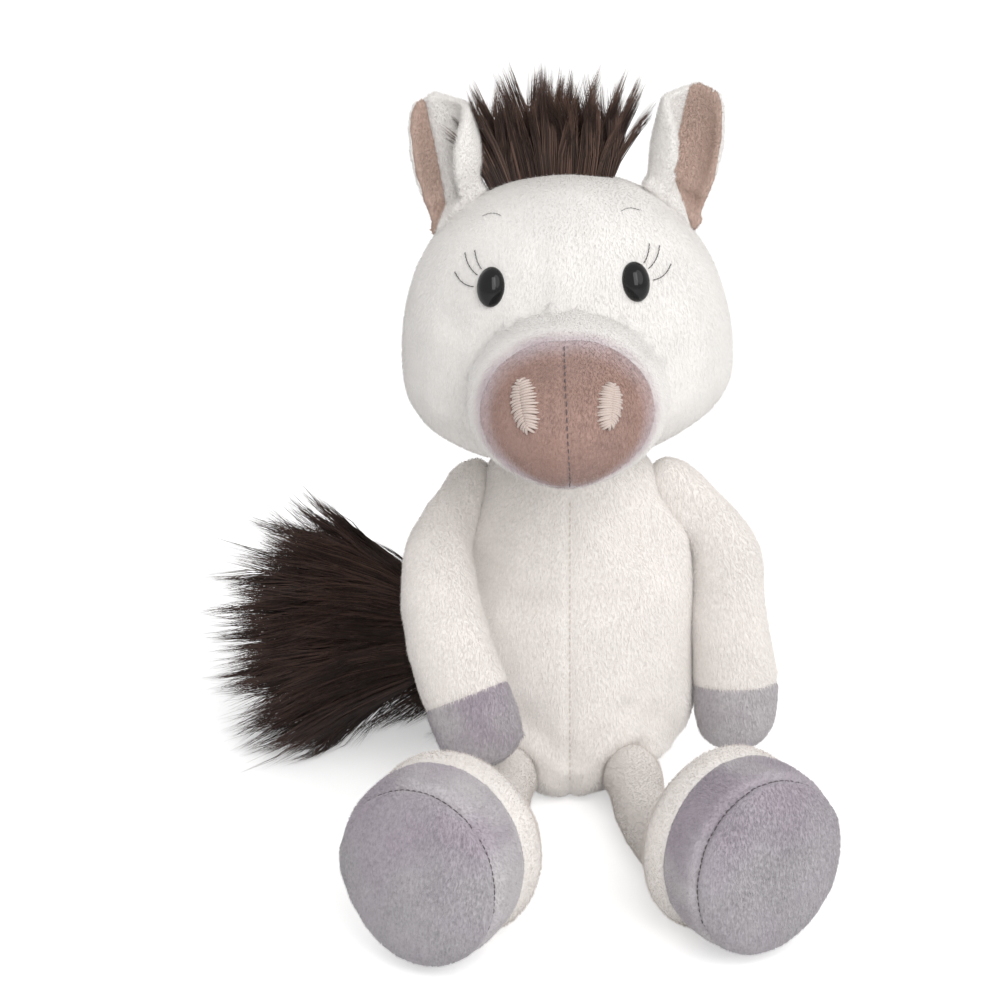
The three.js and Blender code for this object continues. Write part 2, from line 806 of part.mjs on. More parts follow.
function armTube(arm) {
  const at = (out, forward, height) => new THREE.Vector3(arm.hand * out, neckBack - forward, height);
  const curve = new THREE.CubicBezierCurve3(
    shoulderCentre(arm.hand),
    at(arm.upperOut, arm.upperForward, arm.upperHeight),
    at(arm.elbowOut, arm.elbowForward, arm.elbowHeight),
    at(arm.handOut, arm.handForward, arm.handHeight),
  );
  const ballShare = (column, size) => {
    return (share) => {
      const grown = size * shareAt(armShares, share, column);
      const blend = THREE.MathUtils.smoothstep(share, 0.1, 0.26);
      return shoulderBallRadius + (grown - shoulderBallRadius) * blend;
    };
  };
  return new StuffedTube({
    curve,
    lead: shoulderBallRadius,
    side: rightward,
    halfWidth: ballShare(1, arm.handHalfWidth),
    halfHeight: ballShare(2, arm.handHalfDepth),
    startRound: shoulderBallRadius,
    endRound: armRound,
    fullness: 2.2,
    sides: limbSides,
  });
}

function armPieces(arm, side) {
  const tube = armTube(arm);
  const seam = tube.length - armHoofLength;
  const steps = 6;
  const endSteps = 3;
  return {
    [`arm_sleeve_${side}`]: tube.startCup(seam - seamGap / 2, clothThickness, steps, endSteps),
    [`arm_hoof_${side}`]: tube.endCup(seam + seamGap / 2, clothThickness, steps, endSteps),
    [`arm_stuffing_${side}`]: tube.solid(clothThickness + fillingGap, steps, endSteps),
  };
}

// Legs

// Each leg: how far out its sole lies, how far forward, and how much the foot turns out
const legLeft = { hand: 1, soleOut: 68, soleForward: 153, turnOut: THREE.MathUtils.degToRad(30) };
const legRight = { hand: -1, soleOut: 52, soleForward: 160, turnOut: THREE.MathUtils.degToRad(25) };
// Place along the leg, and its girth as a share of the foot's, with the ankle next to the flare
const legShares = [
  [0, 0.379],
  [0.3, 0.379],
  [0.5, 0.39],
  [0.58, 0.52],
  [0.65, 0.8],
  [0.72, 0.95],
  [0.82, 1],
  [0.94, 0.98],
  [1, 0.93],
];

// Half the leg's height or width, which grows from the hip ball to the foot's own size
function legGirth(share, footHalf) {
  const grown = footHalf * shareAt(legShares, share, 1);
  const blend = THREE.MathUtils.smoothstep(share, 0.1, 0.45);
  return hipBallRadius + (grown - hipBallRadius) * blend;
}

// The leg lies on the floor, so its middle line rises with its girth
function legTube(leg) {
  const hip = new THREE.Vector3(leg.hand * hipOut, -hipForward, 0);
  const sole = new THREE.Vector3(leg.hand * leg.soleOut, -leg.soleForward, 0);
  const footWay = new THREE.Vector3(leg.hand * Math.sin(leg.turnOut), -Math.cos(leg.turnOut), 0);
  const reach = (leg.soleForward - hipForward) / 2;
  const knee = hip.clone().addScaledVector(backward, -reach);
  const ankle = sole.clone().addScaledVector(footWay, -reach);
  const plan = new THREE.CubicBezierCurve3(hip, knee, ankle, sole);
  return new StuffedTube({
    curve: plan,
    lift: (share) => legGirth(share, footHalfHeight) - floorFlat,
    lead: hipBallRadius,
    side: rightward,
    halfWidth: (share) => legGirth(share, footHalfWidth),
    halfHeight: (share) => legGirth(share, footHalfHeight),
    startRound: hipBallRadius,
    endRound: soleRound,
    fullness: 2.2,
    sides: footSides,
  });
}

function legPieces(leg, side) {
  const tube = legTube(leg);
  const steps = 10;
  const endSteps = 3;
  const floor = aboveHeight(0);
  const soleSeam = tube.length - soleRound;
  const bandSeam = soleSeam - hoofBandLength;
  const skin = tube.startCup(bandSeam - seamGap / 2, clothThickness, steps, endSteps);
  const band = tube.band(bandSeam + seamGap / 2, soleSeam - seamGap / 2, clothThickness, steps, endSteps);
  const sole = tube.endCup(soleSeam + seamGap / 2, clothThickness, steps, endSteps);
  return {
    [`leg_skin_${side}`]: skin.intersect(floor),
    [`hoof_band_${side}`]: band.intersect(floor),
    [`sole_${side}`]: sole.intersect(floor),
    [`leg_stuffing_${side}`]: tube.solid(clothThickness + fillingGap, steps, endSteps),
  };
}

// Tail: a root ball in the back seam, then locks that fan out to the side

function tailSolid() {
  const waist = new THREE.Vector3(-tailWaistOut, tailWaistBack, tailWaistHeight);
  const stem = new StuffedTube({
    curve: new THREE.QuadraticBezierCurve3(
      tailRoot,
      new THREE.Vector3(-tailRootOut - tailRootRadius * 1.5, tailBack + tailRootRadius, tailRootHeight),
      waist,
    ),
    lead: tailRootRadius,
    side: backward,
    halfWidth: (share) => tailRootRadius * (1 + 0.5 * THREE.MathUtils.smoothstep(share, 0.35, 1)),
    halfHeight: (share) => tailRootRadius * (1 + 1.1 * THREE.MathUtils.smoothstep(share, 0.35, 1)),
    startRound: tailRootRadius,
    endRound: tailRootRadius,
    fullness: 2,
    sides: limbSides,
  });
  const locks = [stem.solid(0, 4, 3)];
  const count = 11;
  const highest = THREE.MathUtils.degToRad(151);
  const lowest = THREE.MathUtils.degToRad(214);
  for (let i = 0; i < count; i += 1) {
    const share = i / (count - 1);
    const turn = highest + (lowest - highest) * share;
    const odd = i % 2;
    const reach = tailReach * (1 - 0.14 * odd - 0.18 * share * share);
    const from = waist.clone().add(new THREE.Vector3(0, (0.5 - odd) * tailLockRadius, 0));
    from.z += tailLockRadius * 1.6 * (0.5 - share);
    const forward = (tailWaistBack + tailForward) * share;
    const tip = new THREE.Vector3(Math.cos(turn) * reach, -forward + tailLockRadius * (0.5 - odd), 0);
    tip.z = Math.max(Math.sin(turn) * reach, floorFlat + tailLockRadius / 4 - from.z);
    const bend = from.clone().addScaledVector(tip, 0.5);
    bend.z += tailLockRadius * (0.9 - share) * 0.8;
    locks.push(hairLock(from, bend, from.clone().add(tip), tailLockRadius, 0.35));
  }
  return joined(locks);
}

// The toy

const cream = { color: 0xf0e8de, roughness: 0.95 };
const white = { color: 0xf2efea, roughness: 0.95 };
const mauve = { color: 0xa58c84, roughness: 0.9 };
const lining = { color: 0xaa9187, roughness: 0.92 };
const hoofGrey = { color: 0x96919a, roughness: 0.93 };
const darkFur = { color: 0x3c302c, roughness: 0.7 };
const blackGloss = { color: 0x060606, roughness: 0.08 };
const thread = { color: 0xd7c3b9, roughness: 0.6 };
const filling = { color: 0xf4f4f2, roughness: 1 };
const clearPlastic = { color: 0xd8dadb, roughness: 0.4 };

const finishes = {
  torso_skin: cream,
  arm_sleeve: cream,
  leg_skin: cream,
  head_skin: white,
  muzzle_skin: white,
  ear_outer: white,
  ear_lining: lining,
  nose_patch: mauve,
  nostril: thread,
  eye_washer: clearPlastic,
  eye: blackGloss,
  arm_hoof: hoofGrey,
  hoof_band: hoofGrey,
  sole: hoofGrey,
  forelock: darkFur,
  mane: darkFur,
  tail: darkFur,
};

function finishOf(name) {
  const kind = Object.keys(finishes).find((key) => name.startsWith(key));
  return kind ? finishes[kind] : filling;
}

function meshOf(name, solid) {
  const made = solid.getMesh();
  const geometry = new THREE.BufferGeometry();
  const stride = made.numProp;
  const count = made.vertProperties.length / stride;
  const position = new Float32Array(count * 3);
  for (let i = 0; i < count; i += 1) {
    position.set(made.vertProperties.subarray(i * stride, i * stride + 3), i * 3);
  }
  geometry.setAttribute('position', new THREE.BufferAttribute(position, 3));
  geometry.setIndex(Array.from(made.triVerts));
  geometry.computeVertexNormals();
  const mesh = new THREE.Mesh(geometry, new THREE.MeshStandardMaterial({ ...finishOf(name), metalness: 0 }));
  mesh.name = name;
  return mesh;
}

function groupOf(pieces) {
  const group = new THREE.Group();
  for (const [name, solid] of Object.entries(pieces)) {
    group.add(meshOf(name, solid));
  }
  return group;
}

const horse = new THREE.Group();
horse.add(groupOf(torsoPieces()));
const head = groupOf(headPieces());
head.rotation.y = -headRoll;
head.position.copy(neckCentre).sub(neckInHead.clone().applyEuler(head.rotation));
horse.add(head);
horse.add(groupOf(armPieces(armLeft, 'left')));
horse.add(groupOf(armPieces(armRight, 'right')));
horse.add(groupOf(legPieces(legLeft, 'left')));
horse.add(groupOf(legPieces(legRight, 'right')));
horse.add(groupOf({ tail: tailSolid() }));

export default horse;
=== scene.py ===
import functools
import json
import math

import bmesh
import bpy
import numpy as np
from mathutils import Matrix, Vector
from mathutils.bvhtree import BVHTree
from mathutils.kdtree import KDTree


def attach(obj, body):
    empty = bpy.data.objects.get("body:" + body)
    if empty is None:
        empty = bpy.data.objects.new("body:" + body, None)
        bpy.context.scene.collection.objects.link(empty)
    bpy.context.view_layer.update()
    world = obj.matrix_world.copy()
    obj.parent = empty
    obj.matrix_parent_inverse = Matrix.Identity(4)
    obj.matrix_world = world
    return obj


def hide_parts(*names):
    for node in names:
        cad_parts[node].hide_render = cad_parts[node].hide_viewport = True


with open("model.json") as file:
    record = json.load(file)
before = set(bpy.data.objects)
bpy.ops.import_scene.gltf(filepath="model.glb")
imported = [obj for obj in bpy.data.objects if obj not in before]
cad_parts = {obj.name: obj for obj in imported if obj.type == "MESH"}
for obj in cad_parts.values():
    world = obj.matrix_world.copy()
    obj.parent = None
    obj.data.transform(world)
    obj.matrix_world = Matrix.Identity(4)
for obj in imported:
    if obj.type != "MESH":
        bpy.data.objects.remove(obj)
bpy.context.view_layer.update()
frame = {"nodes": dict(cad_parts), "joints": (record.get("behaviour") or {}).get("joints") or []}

bl_info = {
    "name": "Plush horse",
    "version": (1, 0, 0),
    "blender": (4, 5, 0),
    "location": "3D View > Sidebar > Plush horse",
    "description": "Makes the cloth, pile, hair, eyes and seams of a sitting plush horse",
    "category": "Mesh",
}

MM = 0.001
SIDES = ("left", "right")

# How near the points of two CAD nodes lie where they are sewn together, and where a limb is sewn to the torso
SEAM_REACH = 0.7 * MM
LIMB_REACH = 2.2 * MM

# How far above the floor the lowest cloth, pile and hair and the lowest part of the tail's core lie
CLOTH_LIFT = 0.35 * MM
PILE_LIFT = 0.05 * MM
HAIR_LIFT = 0.3 * MM
CORE_LIFT = 3 * MM


def tone(red, green, blue):
    """A colour as it shows on a screen, from 0 to 255, turned into linear light"""
    shares = [value / 255 for value in (red, green, blue)]
    return tuple(s / 12.92 if s < 0.04045 else ((s + 0.055) / 1.055) ** 2.4 for s in shares)


def length_property(name, description, millimetres):
    return bpy.props.FloatProperty(
        name=name, description=description, default=millimetres * MM, unit="LENGTH", precision=5
    )


def colour_property(name, description, *shades):
    return bpy.props.FloatVectorProperty(
        name=name, description=description, default=tone(*shades), subtype="COLOR", size=3, min=0, max=1
    )


class HorseSizes(bpy.types.PropertyGroup):
    """The sizes that a user would change"""

    voxel: length_property("Cloth grid", "Grid of the cloth while it is stuffed", 3.7)
    ear_voxel: length_property("Ear grid", "Grid of the ears' thin cloth", 1.1)
    margin: length_property("Pile room", "How far the cloth lies inside the finished outline", 0.7)
    swell: length_property("Swell", "How far the filling may push the cloth out", 2.2)
    cloth: length_property("Cloth", "Thickness of the cloth", 1.2)
    pile: length_property("Pile", "Length of the short pile", 1.6)
    tuft: length_property("Tuft", "Width of one tuft of pile", 0.31)
    seam_depth: length_property("Seam depth", "How deep a seam pulls the cloth in", 1.3)
    seam_width: length_property("Seam width", "Half width of the dip along a seam", 1.7)
    thread: length_property("Thread", "Radius of the sewing thread", 0.22)
    hair: length_property("Hair", "Width of one strand of the long hair", 0.32)
    forelock: length_property("Forelock", "Length of the hair on the crown", 31)
    mane: length_property("Mane", "Length of the hair down the back of the head", 21)
    tail: length_property("Tail hair", "Length of the hair on the tail", 52)
    pile_cover: bpy.props.FloatProperty(
        name="Pile cover", description="Tufts for each square millimetre", default=2.6, min=0.1
    )
    slack: bpy.props.FloatProperty(
        name="Slack", description="Spare cloth that the filling pushes out", default=0.03, min=0, max=0.1
    )


class HorseColours(bpy.types.PropertyGroup):
    """The colours that a user would change"""

    body: colour_property("Body", "Cream pile of the body and limbs", 243, 238, 234)
    head: colour_property("Head", "Off-white pile of the head", 241, 238, 235)
    nose: colour_property("Nose", "Mauve-brown pile of the nose", 168, 136, 124)
    lining: colour_property("Ear lining", "Mauve-brown pile inside the ears", 192, 167, 155)
    hoof: colour_property("Hoof", "Grey pile of the hooves", 196, 192, 194)
    # Painted shade: the soles' grey is a darker copy of the hooves' grey, because the pile of the soles faces
    # the camera and looks darker
    sole: colour_property("Sole", "Grey pile of the soles", 178, 174, 178)
    spray: colour_property("Spray", "Lilac shade sprayed over the hooves", 172, 162, 172)
    blush: colour_property("Blush", "Pinkish shade sprayed round the nose", 205, 190, 194)
    hair: colour_property("Hair", "Dark brown of the tail", 46, 33, 28)
    # Painted light: the forelock and mane take a lighter copy of the tail's brown, for the light that falls on
    # the top of the head
    crest: colour_property("Crest", "Brown of the forelock and the mane", 68, 52, 45)
    nostril: colour_property("Nostril", "Thread of the nostrils", 224, 206, 196)
    cotton: colour_property("Cotton", "Thread of the centre seam", 214, 200, 186)
    seam: colour_property("Seam", "Thread of the hoof and nose seams", 92, 82, 86)
    black: colour_property("Black", "Eyes and lashes", 12, 12, 13)
    floor: colour_property("Floor", "Floor and backdrop", 250, 250, 250)


def sizes():
    return bpy.context.scene.horse_sizes


def colours():
    return bpy.context.scene.horse_colours


def once(group):
    """Lets a function make a data block only once for each name, and finds it again in bpy.data"""
    def wrap(make):
        @functools.wraps(make)
        def give(name, *values, **settings):
            return getattr(bpy.data, group).get(name) or make(name, *values, **settings)

        return give

    return wrap


# Node trees

class NodeMaker:
    """Adds nodes to a tree and joins them"""

    def __init__(self, tree):
        self.tree = tree

    def add(self, kind, values=None, **settings):
        """A new node, with its own settings and the values of its inputs"""
        node = self.tree.nodes.new(kind)
        for key, value in settings.items():
            setattr(node, key, value)
        for key, value in (values or {}).items():
            self.put(node, key, value)
        return node

    def put(self, node, key, value):
        """Sets an input to a value, or joins it to another node's output"""
        socket = node.inputs[key]
        if isinstance(value, bpy.types.NodeSocket):
            self.tree.links.new(value, socket)
        else:
            socket.default_value = value

    def math(self, operation, first, second=0.0, third=0.0):
        node = self.add("ShaderNodeMath", operation=operation)
        for key, value in enumerate((first, second, third)):
            self.put(node, key, value)
        return node.outputs[0]

    def product(self, first, *others):
        for other in others:
            first = self.math("MULTIPLY", first, other)
        return first

    def vector(self, operation, first, second=None, scale=None):
        node = self.add("ShaderNodeVectorMath", {0: first}, operation=operation)
        if second is not None:
            self.put(node, 1, second)
        if scale is not None:
            self.put(node, "Scale", scale)
        return node.outputs["Value" if operation in ("DOT_PRODUCT", "LENGTH") else "Vector"]

    def scaled(self, vector, scale):
        return self.vector("SCALE", vector, scale=scale)

    def attribute(self, name, kind="FLOAT"):
        """An attribute of the mesh or the points"""
        return self.add("GeometryNodeInputNamedAttribute", {"Name": name}, data_type=kind).outputs[0]

    def place(self):
        """The place on the piece, in its own coordinates"""
        return self.add("ShaderNodeTexCoord").outputs["Object"]

    def coordinate(self, place, axis):
        return self.add("ShaderNodeSeparateXYZ", {"Vector": place}).outputs[axis]

    def scatter(self, patch, cover, seed):
        """Points strewn over a patch, and its normal at each of them"""
        values = {"Mesh": patch, "Density": cover, "Seed": seed}
        return self.add("GeometryNodeDistributePointsOnFaces", values, distribute_method="RANDOM").outputs

    def stored(self, points, name, value, kind="FLOAT"):
        """Points that keep a value under a name"""
        values = {"Name": name, "Geometry": points, "Value": value}
        return self.add("GeometryNodeStoreNamedAttribute", values, data_type=kind).outputs[0]

    def noise(self, place, scale, detail=2.0):
        return self.add("ShaderNodeTexNoise", {"Vector": place, "Scale": scale, "Detail": detail})

    def swirl(self, place, scale):
        """A noise that points every way"""
        return self.vector("SUBTRACT", self.noise(place, scale, 1.0).outputs[1], (0.5, 0.5, 0.5))

    def ramp(self, value, low, high, from_value=0.0, to_value=1.0):
        """Runs smoothly from one value to another as the first goes from low to high"""
        node = self.add("ShaderNodeMapRange", interpolation_type="SMOOTHSTEP")
        for key, number in enumerate((value, low, high, from_value, to_value)):
            self.put(node, key, number)
        return node.outputs[0]

    def mix(self, share, first, second):
        node = self.add("ShaderNodeMix", {0: share, 6: first, 7: second}, data_type="RGBA", clamp_factor=True)
        return node.outputs[2]


def new_tree(name, kind, inputs, outputs):
    """A node tree with its sockets, a maker for it, and what goes into it"""
    tree = bpy.data.node_groups.new(name, kind)
    for way, sockets in (("INPUT", inputs), ("OUTPUT", outputs)):
        for socket, sort in sockets.items():
            tree.interface.new_socket(name=socket, in_out=way, socket_type="NodeSocket" + sort)
    maker = NodeMaker(tree)
    return tree, maker, maker.add("NodeGroupInput").outputs


def opaque(colour):
    return (*colour, 1.0)


def darker(colour, share):
    return opaque(tuple(share * c for c in colour))


# Materials

@once("node_groups")
def pile_group(name):
    """The shared effect of short pile: soft blotches, fine grain along one way and the height of both"""
    inputs = {"Colour": "Color", "Spray": "Color", "Spray Mask": "Float", "Grain": "Float", "Blotch": "Float"}
    outputs = {"Colour": "Color", "Height": "Float"}
    tree, maker, given = new_tree(name, "ShaderNodeTree", inputs, outputs)
    place = maker.place()
    blotch = maker.noise(place, 55.0, 3.0).outputs[0]
    along = maker.add("ShaderNodeMapping", {"Vector": place, "Scale": (1900.0, 1900.0, 620.0)}).outputs[0]
    grain = maker.noise(along, 1.0).outputs[0]
    tuft = maker.noise(place, 900.0, 1.0).outputs[0]
    sprayed = maker.mix(given["Spray Mask"], given["Colour"], given["Spray"])
    fleck = maker.math("MULTIPLY_ADD", grain, 0.55, maker.product(tuft, 0.45))
    grained = maker.math("MULTIPLY_ADD", maker.math("SUBTRACT", fleck, 0.5), given["Grain"], 0.78)
    share = maker.math("MULTIPLY_ADD", maker.math("SUBTRACT", blotch, 0.5), given["Blotch"], grained)
    colour = maker.mix(share, maker.scaled(sprayed, 0.66), maker.scaled(sprayed, 1.1))
    maker.add("NodeGroupOutput", {"Colour": colour, "Height": fleck})
    return tree


def principled(name, roughness, **values):
    """A new material with one Principled shader. Spaces in a socket's name are underscores here."""
    material = bpy.data.materials.new(name)
    material.use_nodes = True
    shader = material.node_tree.nodes["Principled BSDF"]
    shader.inputs["Roughness"].default_value = roughness
    for key, value in values.items():
        shader.inputs[key.replace("_", " ")].default_value = value
    return material, NodeMaker(material.node_tree), shader


@once("materials")
def pile_material(name, colour, mask=None, spray=None, grain=1.0, blotch=0.35):
    """Short pile. The mask is made by a function and says where the spray lies."""
    settings = {"Sheen_Weight": 0.35, "Sheen_Roughness": 0.45, "Specular_IOR_Level": 0.25}
    material, maker, shader = principled(name, 0.92, **settings)
    values = {"Colour": opaque(colour), "Spray": opaque(spray or colour), "Grain": grain, "Blotch": blotch}
    values["Spray Mask"] = mask(maker, maker.place()) if mask else 0.0
    pile = maker.add("ShaderNodeGroup", values, node_tree=pile_group("pile_grain")).outputs
    bump = maker.add("ShaderNodeBump", {"Strength": 0.5, "Distance": 0.6 * MM, "Height": pile["Height"]})
    maker.put(shader, "Base Color", pile["Colour"])
    maker.put(shader, "Normal", bump.outputs[0])
    return material


def patchy_mask(maker, place):
    """Spray in loose patches, stronger towards the top of a hoof"""
    cloud = maker.noise(place, 38.0).outputs[0]
    rise = maker.ramp(maker.coordinate(place, 2), 12 * MM, 62 * MM, -0.15, 0.15)
    return maker.ramp(maker.math("ADD", cloud, rise), 0.35, 0.75)


def edge_mask(centre, normal, before, after):
    """Spray along a flat seam: none at one distance before it, most at the seam, less after it"""
    def mask(maker, place):
        depth = maker.vector("DOT_PRODUCT", maker.vector("SUBTRACT", place, centre), normal)
        rising = maker.ramp(depth, -before, 0.0)
        falling = maker.ramp(depth, 0.0, after, 1.0, 0.1)
        sided = maker.ramp(maker.coordinate(place, 0), -12 * MM, 28 * MM, 1.0, 0.75)
        cloud = maker.ramp(maker.noise(place, 60.0).outputs[0], 0.3, 0.7, 0.55, 1.0)
        return maker.product(rising, falling, cloud, sided)

    return mask


@once("materials")
def hair_material(name, colour):
    """Glossy hair that is darker and lighter from strand to strand: partly a random tone, and in the few much
    lighter strands a painted highlight
    """
    material, maker, shader = principled(name, 0.45, Specular_IOR_Level=0.3)
    streak = maker.add("ShaderNodeAttribute", attribute_name="streak").outputs["Fac"]
    cloud = maker.noise(maker.place(), 120.0).outputs[0]
    # Strands with a high chance come out up to 3.2 times as bright: painted highlight streaks on top of a
    # random darker and lighter tone
    share = maker.math("MULTIPLY_ADD", cloud, 0.25, maker.math("POWER", streak, 3.0))
    maker.put(shader, "Base Color", maker.mix(share, darker(colour, 0.35), darker(colour, 3.2)))
    return material


@once("materials")
def thread_material(name, colour, roughness=0.55):
    """Twisted thread"""
    material, maker, shader = principled(name, roughness, Sheen_Weight=0.2)
    wave = {"Vector": maker.place(), "Scale": 900.0, "Distortion": 2.0}
    twist = maker.add("ShaderNodeTexWave", wave).outputs[1]
    bump = maker.add("ShaderNodeBump", {"Strength": 0.4, "Distance": 0.1 * MM, "Height": twist})
    maker.put(shader, "Base Color", maker.mix(twist, darker(colour, 0.7), opaque(colour)))
    maker.put(shader, "Normal", bump.outputs[0])
    return material


def gloss_material():
    """Polished plastic with a faint haze"""
    material, maker, shader = principled("eye_gloss", 0.07, Specular_IOR_Level=0.3)
    haze = maker.noise(maker.place(), 700.0).outputs[0]
    maker.put(shader, "Roughness", maker.ramp(haze, 0.3, 0.8, 0.05, 0.12))
    maker.put(shader, "Base Color", opaque(colours().black))
    return material


# Meshes

def new_object(name, mesh):
    piece = bpy.data.objects.new(name, mesh)
    bpy.context.scene.collection.objects.link(piece)
    return piece


def places_of(mesh):
    places = np.empty(len(mesh.vertices) * 3)
    mesh.vertices.foreach_get("co", places)
    return places.reshape(-1, 3)


def normals_of(mesh):
    normals = np.empty(len(mesh.vertices) * 3)
    mesh.vertex_normals.foreach_get("vector", normals)
    return normals.reshape(-1, 3)


def move_points(mesh, places):
    mesh.vertices.foreach_set("co", np.asarray(places, float).ravel())
    mesh.update()


def store(mesh, name, values, kind="FLOAT"):
    attribute = mesh.attributes.new(name, kind, "POINT")
    key = "vector" if kind == "FLOAT_VECTOR" else "value"
    attribute.data.foreach_set(key, np.asarray(values, float).ravel())


def mesh_from(shape, name):
    """A new mesh from an edited shape, which is then let go"""
    mesh = bpy.data.meshes.new(name)
    shape.to_mesh(mesh)
    shape.free()
    return mesh


def bisect(shape, centre, normal, **settings):
    geometry = shape.verts[:] + shape.edges[:] + shape.faces[:]
    return bmesh.ops.bisect_plane(shape, geom=geometry, plane_co=centre, plane_no=normal, **settings)


def settle(piece):
    """Applies every modifier of a piece"""
    ready = piece.evaluated_get(bpy.context.evaluated_depsgraph_get())
    mesh = bpy.data.meshes.new_from_object(ready)
    piece.modifiers.clear()
    old = piece.data
    piece.data = mesh
    bpy.data.meshes.remove(old)


def with_modifier(piece, kind, **settings):
    """Adds one modifier and applies it"""
    modifier = piece.modifiers.new(kind.lower(), kind)
    for key, value in settings.items():
        setattr(modifier, key, value)
    settle(piece)


def rest_on_floor(mesh, lowest):
    """Lifts what lies lower than this"""
    places = places_of(mesh)
    places[:, 2] = np.maximum(places[:, 2], lowest)
    move_points(mesh, places)


def smooth_faces(mesh):
    mesh.polygons.foreach_set("use_smooth", [True] * len(mesh.polygons))
    mesh.update()


def dress(piece, material):
    piece.data.materials.clear()
    piece.data.materials.append(material)


def finish_piece(piece, body, slot, material, nodes=(), fill=None):
    """Gives a piece its material and body, and hides the CAD nodes that it stands for"""
    dress(piece, material)
    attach(piece, body)
    if nodes:
        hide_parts(*nodes)


# Seams

class FlatSeam:
    """The flat cut between two sewn patches, found from where their two CAD nodes meet"""

    def __init__(self, before, after):
        first = node_places(before)
        second = node_places(after)
        near = meeting_places(second, first, SEAM_REACH)
        self.centre = Vector(near.mean(0))
        normal = Vector(np.linalg.svd(near - near.mean(0), full_matrices=False)[2][2])
        forward = Vector(second.mean(0) - first.mean(0))
        self.normal = normal if normal.dot(forward) > 0 else -normal

    def depth(self, places):
        """How far each place lies past the seam's plane"""
        return (places - np.array(self.centre)) @ np.array(self.normal)

    def ring(self, mesh):
        """The places where the seam's plane crosses a mesh, sorted by their angle round its middle"""
        places = cut_line(mesh, self.centre, self.normal)
        first = self.normal.orthogonal().normalized()
        second = self.normal.cross(first)
        offsets = places - np.array(self.centre)
        turns = np.arctan2(offsets @ np.array(second), offsets @ np.array(first))
        return places[np.argsort(turns)]


def node_places(node):
    return places_of(frame["nodes"][node].data)


def meeting_places(places, others, reach):
    """Those of the places that lie within reach of one of the others"""
    tree = tree_of(others)
    return np.array([p for p in places if tree.find(p)[2] < reach])


def tree_of(places):
    tree = KDTree(len(places))
    for index, place in enumerate(places):
        tree.insert(place, index)
    tree.balance()
    return tree


def distances(places, others):
    """How far each place lies from the nearest of the others"""
    if len(others) == 0:
        return np.full(len(places), 1.0)
    tree = tree_of(others)
    return np.array([tree.find(p)[2] for p in places])


def cut_line(mesh, centre, normal):
    """The places where a plane crosses a mesh"""
    shape = bmesh.new()
    shape.from_mesh(mesh)
    cut = bisect(shape, centre, normal)["geom_cut"]
    places = np.array([v.co[:] for v in cut if isinstance(v, bmesh.types.BMVert)]).reshape(-1, 3)
    shape.free()
    return places


def pull_in(mesh, line, depth, width):
    """Sinks the cloth along a seam"""
    places = places_of(mesh)
    away = distances(places, line)
    dip = depth * np.exp(-((away / width) ** 2))
    move_points(mesh, places - normals_of(mesh) * dip[:, None])


# Stuffed forms

# The CAD nodes that each form is the outline of
FORM_NODES = {
    "torso": ("torso_skin", "torso_stuffing", "pellet_bag"),
    "head": ("head_skin", "head_stuffing", "muzzle_skin", "nose_patch"),
    **{f"arm_{s}": (f"arm_sleeve_{s}", f"arm_hoof_{s}", f"arm_stuffing_{s}") for s in SIDES},
    **{f"leg_{s}": (f"leg_skin_{s}", f"hoof_band_{s}", f"sole_{s}", f"leg_stuffing_{s}") for s in SIDES},
}

# Where the filling pushes a form out: the place, how far round it, and the push, in millimetres
BULGES = {
    "head": (
        ((46, -18, 140), 22, (-1.5, 0, 2.5)),
    ),
    "torso": (
        ((0, -38, 6), 24, (0, -7, -4)),
        ((34, 0, 98), 16, (5, -2, 0)),
        ((-34, 0, 98), 16, (-4, -2, 0)),
        ((30, 2, 120), 9, (2, 0, 2.5)),
        ((-30, 2, 120), 9, (-2.5, 0, 2.5)),
        ((44, -6, 62), 30, (4, 0, 0)),
        ((44, -6, 84), 17, (3, 0, 0)),
        ((42, -8, 26), 19, (4.5, 0, 0)),
    ),
    "arm_left": (
        ((62, -5, 88), 19, (6, 0, 3)),
        ((46, -8, 66), 26, (-3, 0, 0)),
        ((35, 2, 119), 10, (-2.5, 0, 6)),
        ((50, 4, 114), 12, (0, 0, 2)),
        ((77, -10, 42), 24, (3, 0, 0)),
        ((46, -12, 34), 12, (-1.5, 0, 0)),
    ),
    "arm_right": (
        ((-47, -12, 83), 27, (6, -3, 0)),
        ((-57, 0, 105), 16, (5, 0, -1)),
        ((-34, 2, 120), 10, (2.5, 0, 6)),
    ),
    "leg_left": (
        ((50, -152, 4), 26, (0, -3, 0)),
        ((88, -142, 45), 25, (2, 0, 0)),
    ),
    "leg_right": (
        ((-44, -152, 4), 28, (0, -5, 0)),
        ((-73, -142, 42), 25, (-1.8, 0, 0)),
        ((-12, -118, 38), 18, (2.6, 0, 0)),
    ),
}


def bulge(mesh, centre, radius, push):
    """Pushes the cloth round one place. All lengths are in millimetres."""
    places = places_of(mesh)
    away = np.linalg.norm(places - np.array(centre) * MM, axis=1)
    share = np.exp(-((away / (radius * MM)) ** 2))
    move_points(mesh, places + np.array(push) * MM * share[:, None])


def node_copy(name, nodes):
    """One mesh of all these CAD nodes, with their doubled points merged"""
    shape = bmesh.new()
    for node in nodes:
        shape.from_mesh(frame["nodes"][node].data)
    bmesh.ops.remove_doubles(shape, verts=shape.verts, dist=0.001 * MM)
    return new_object(name, mesh_from(shape, name))


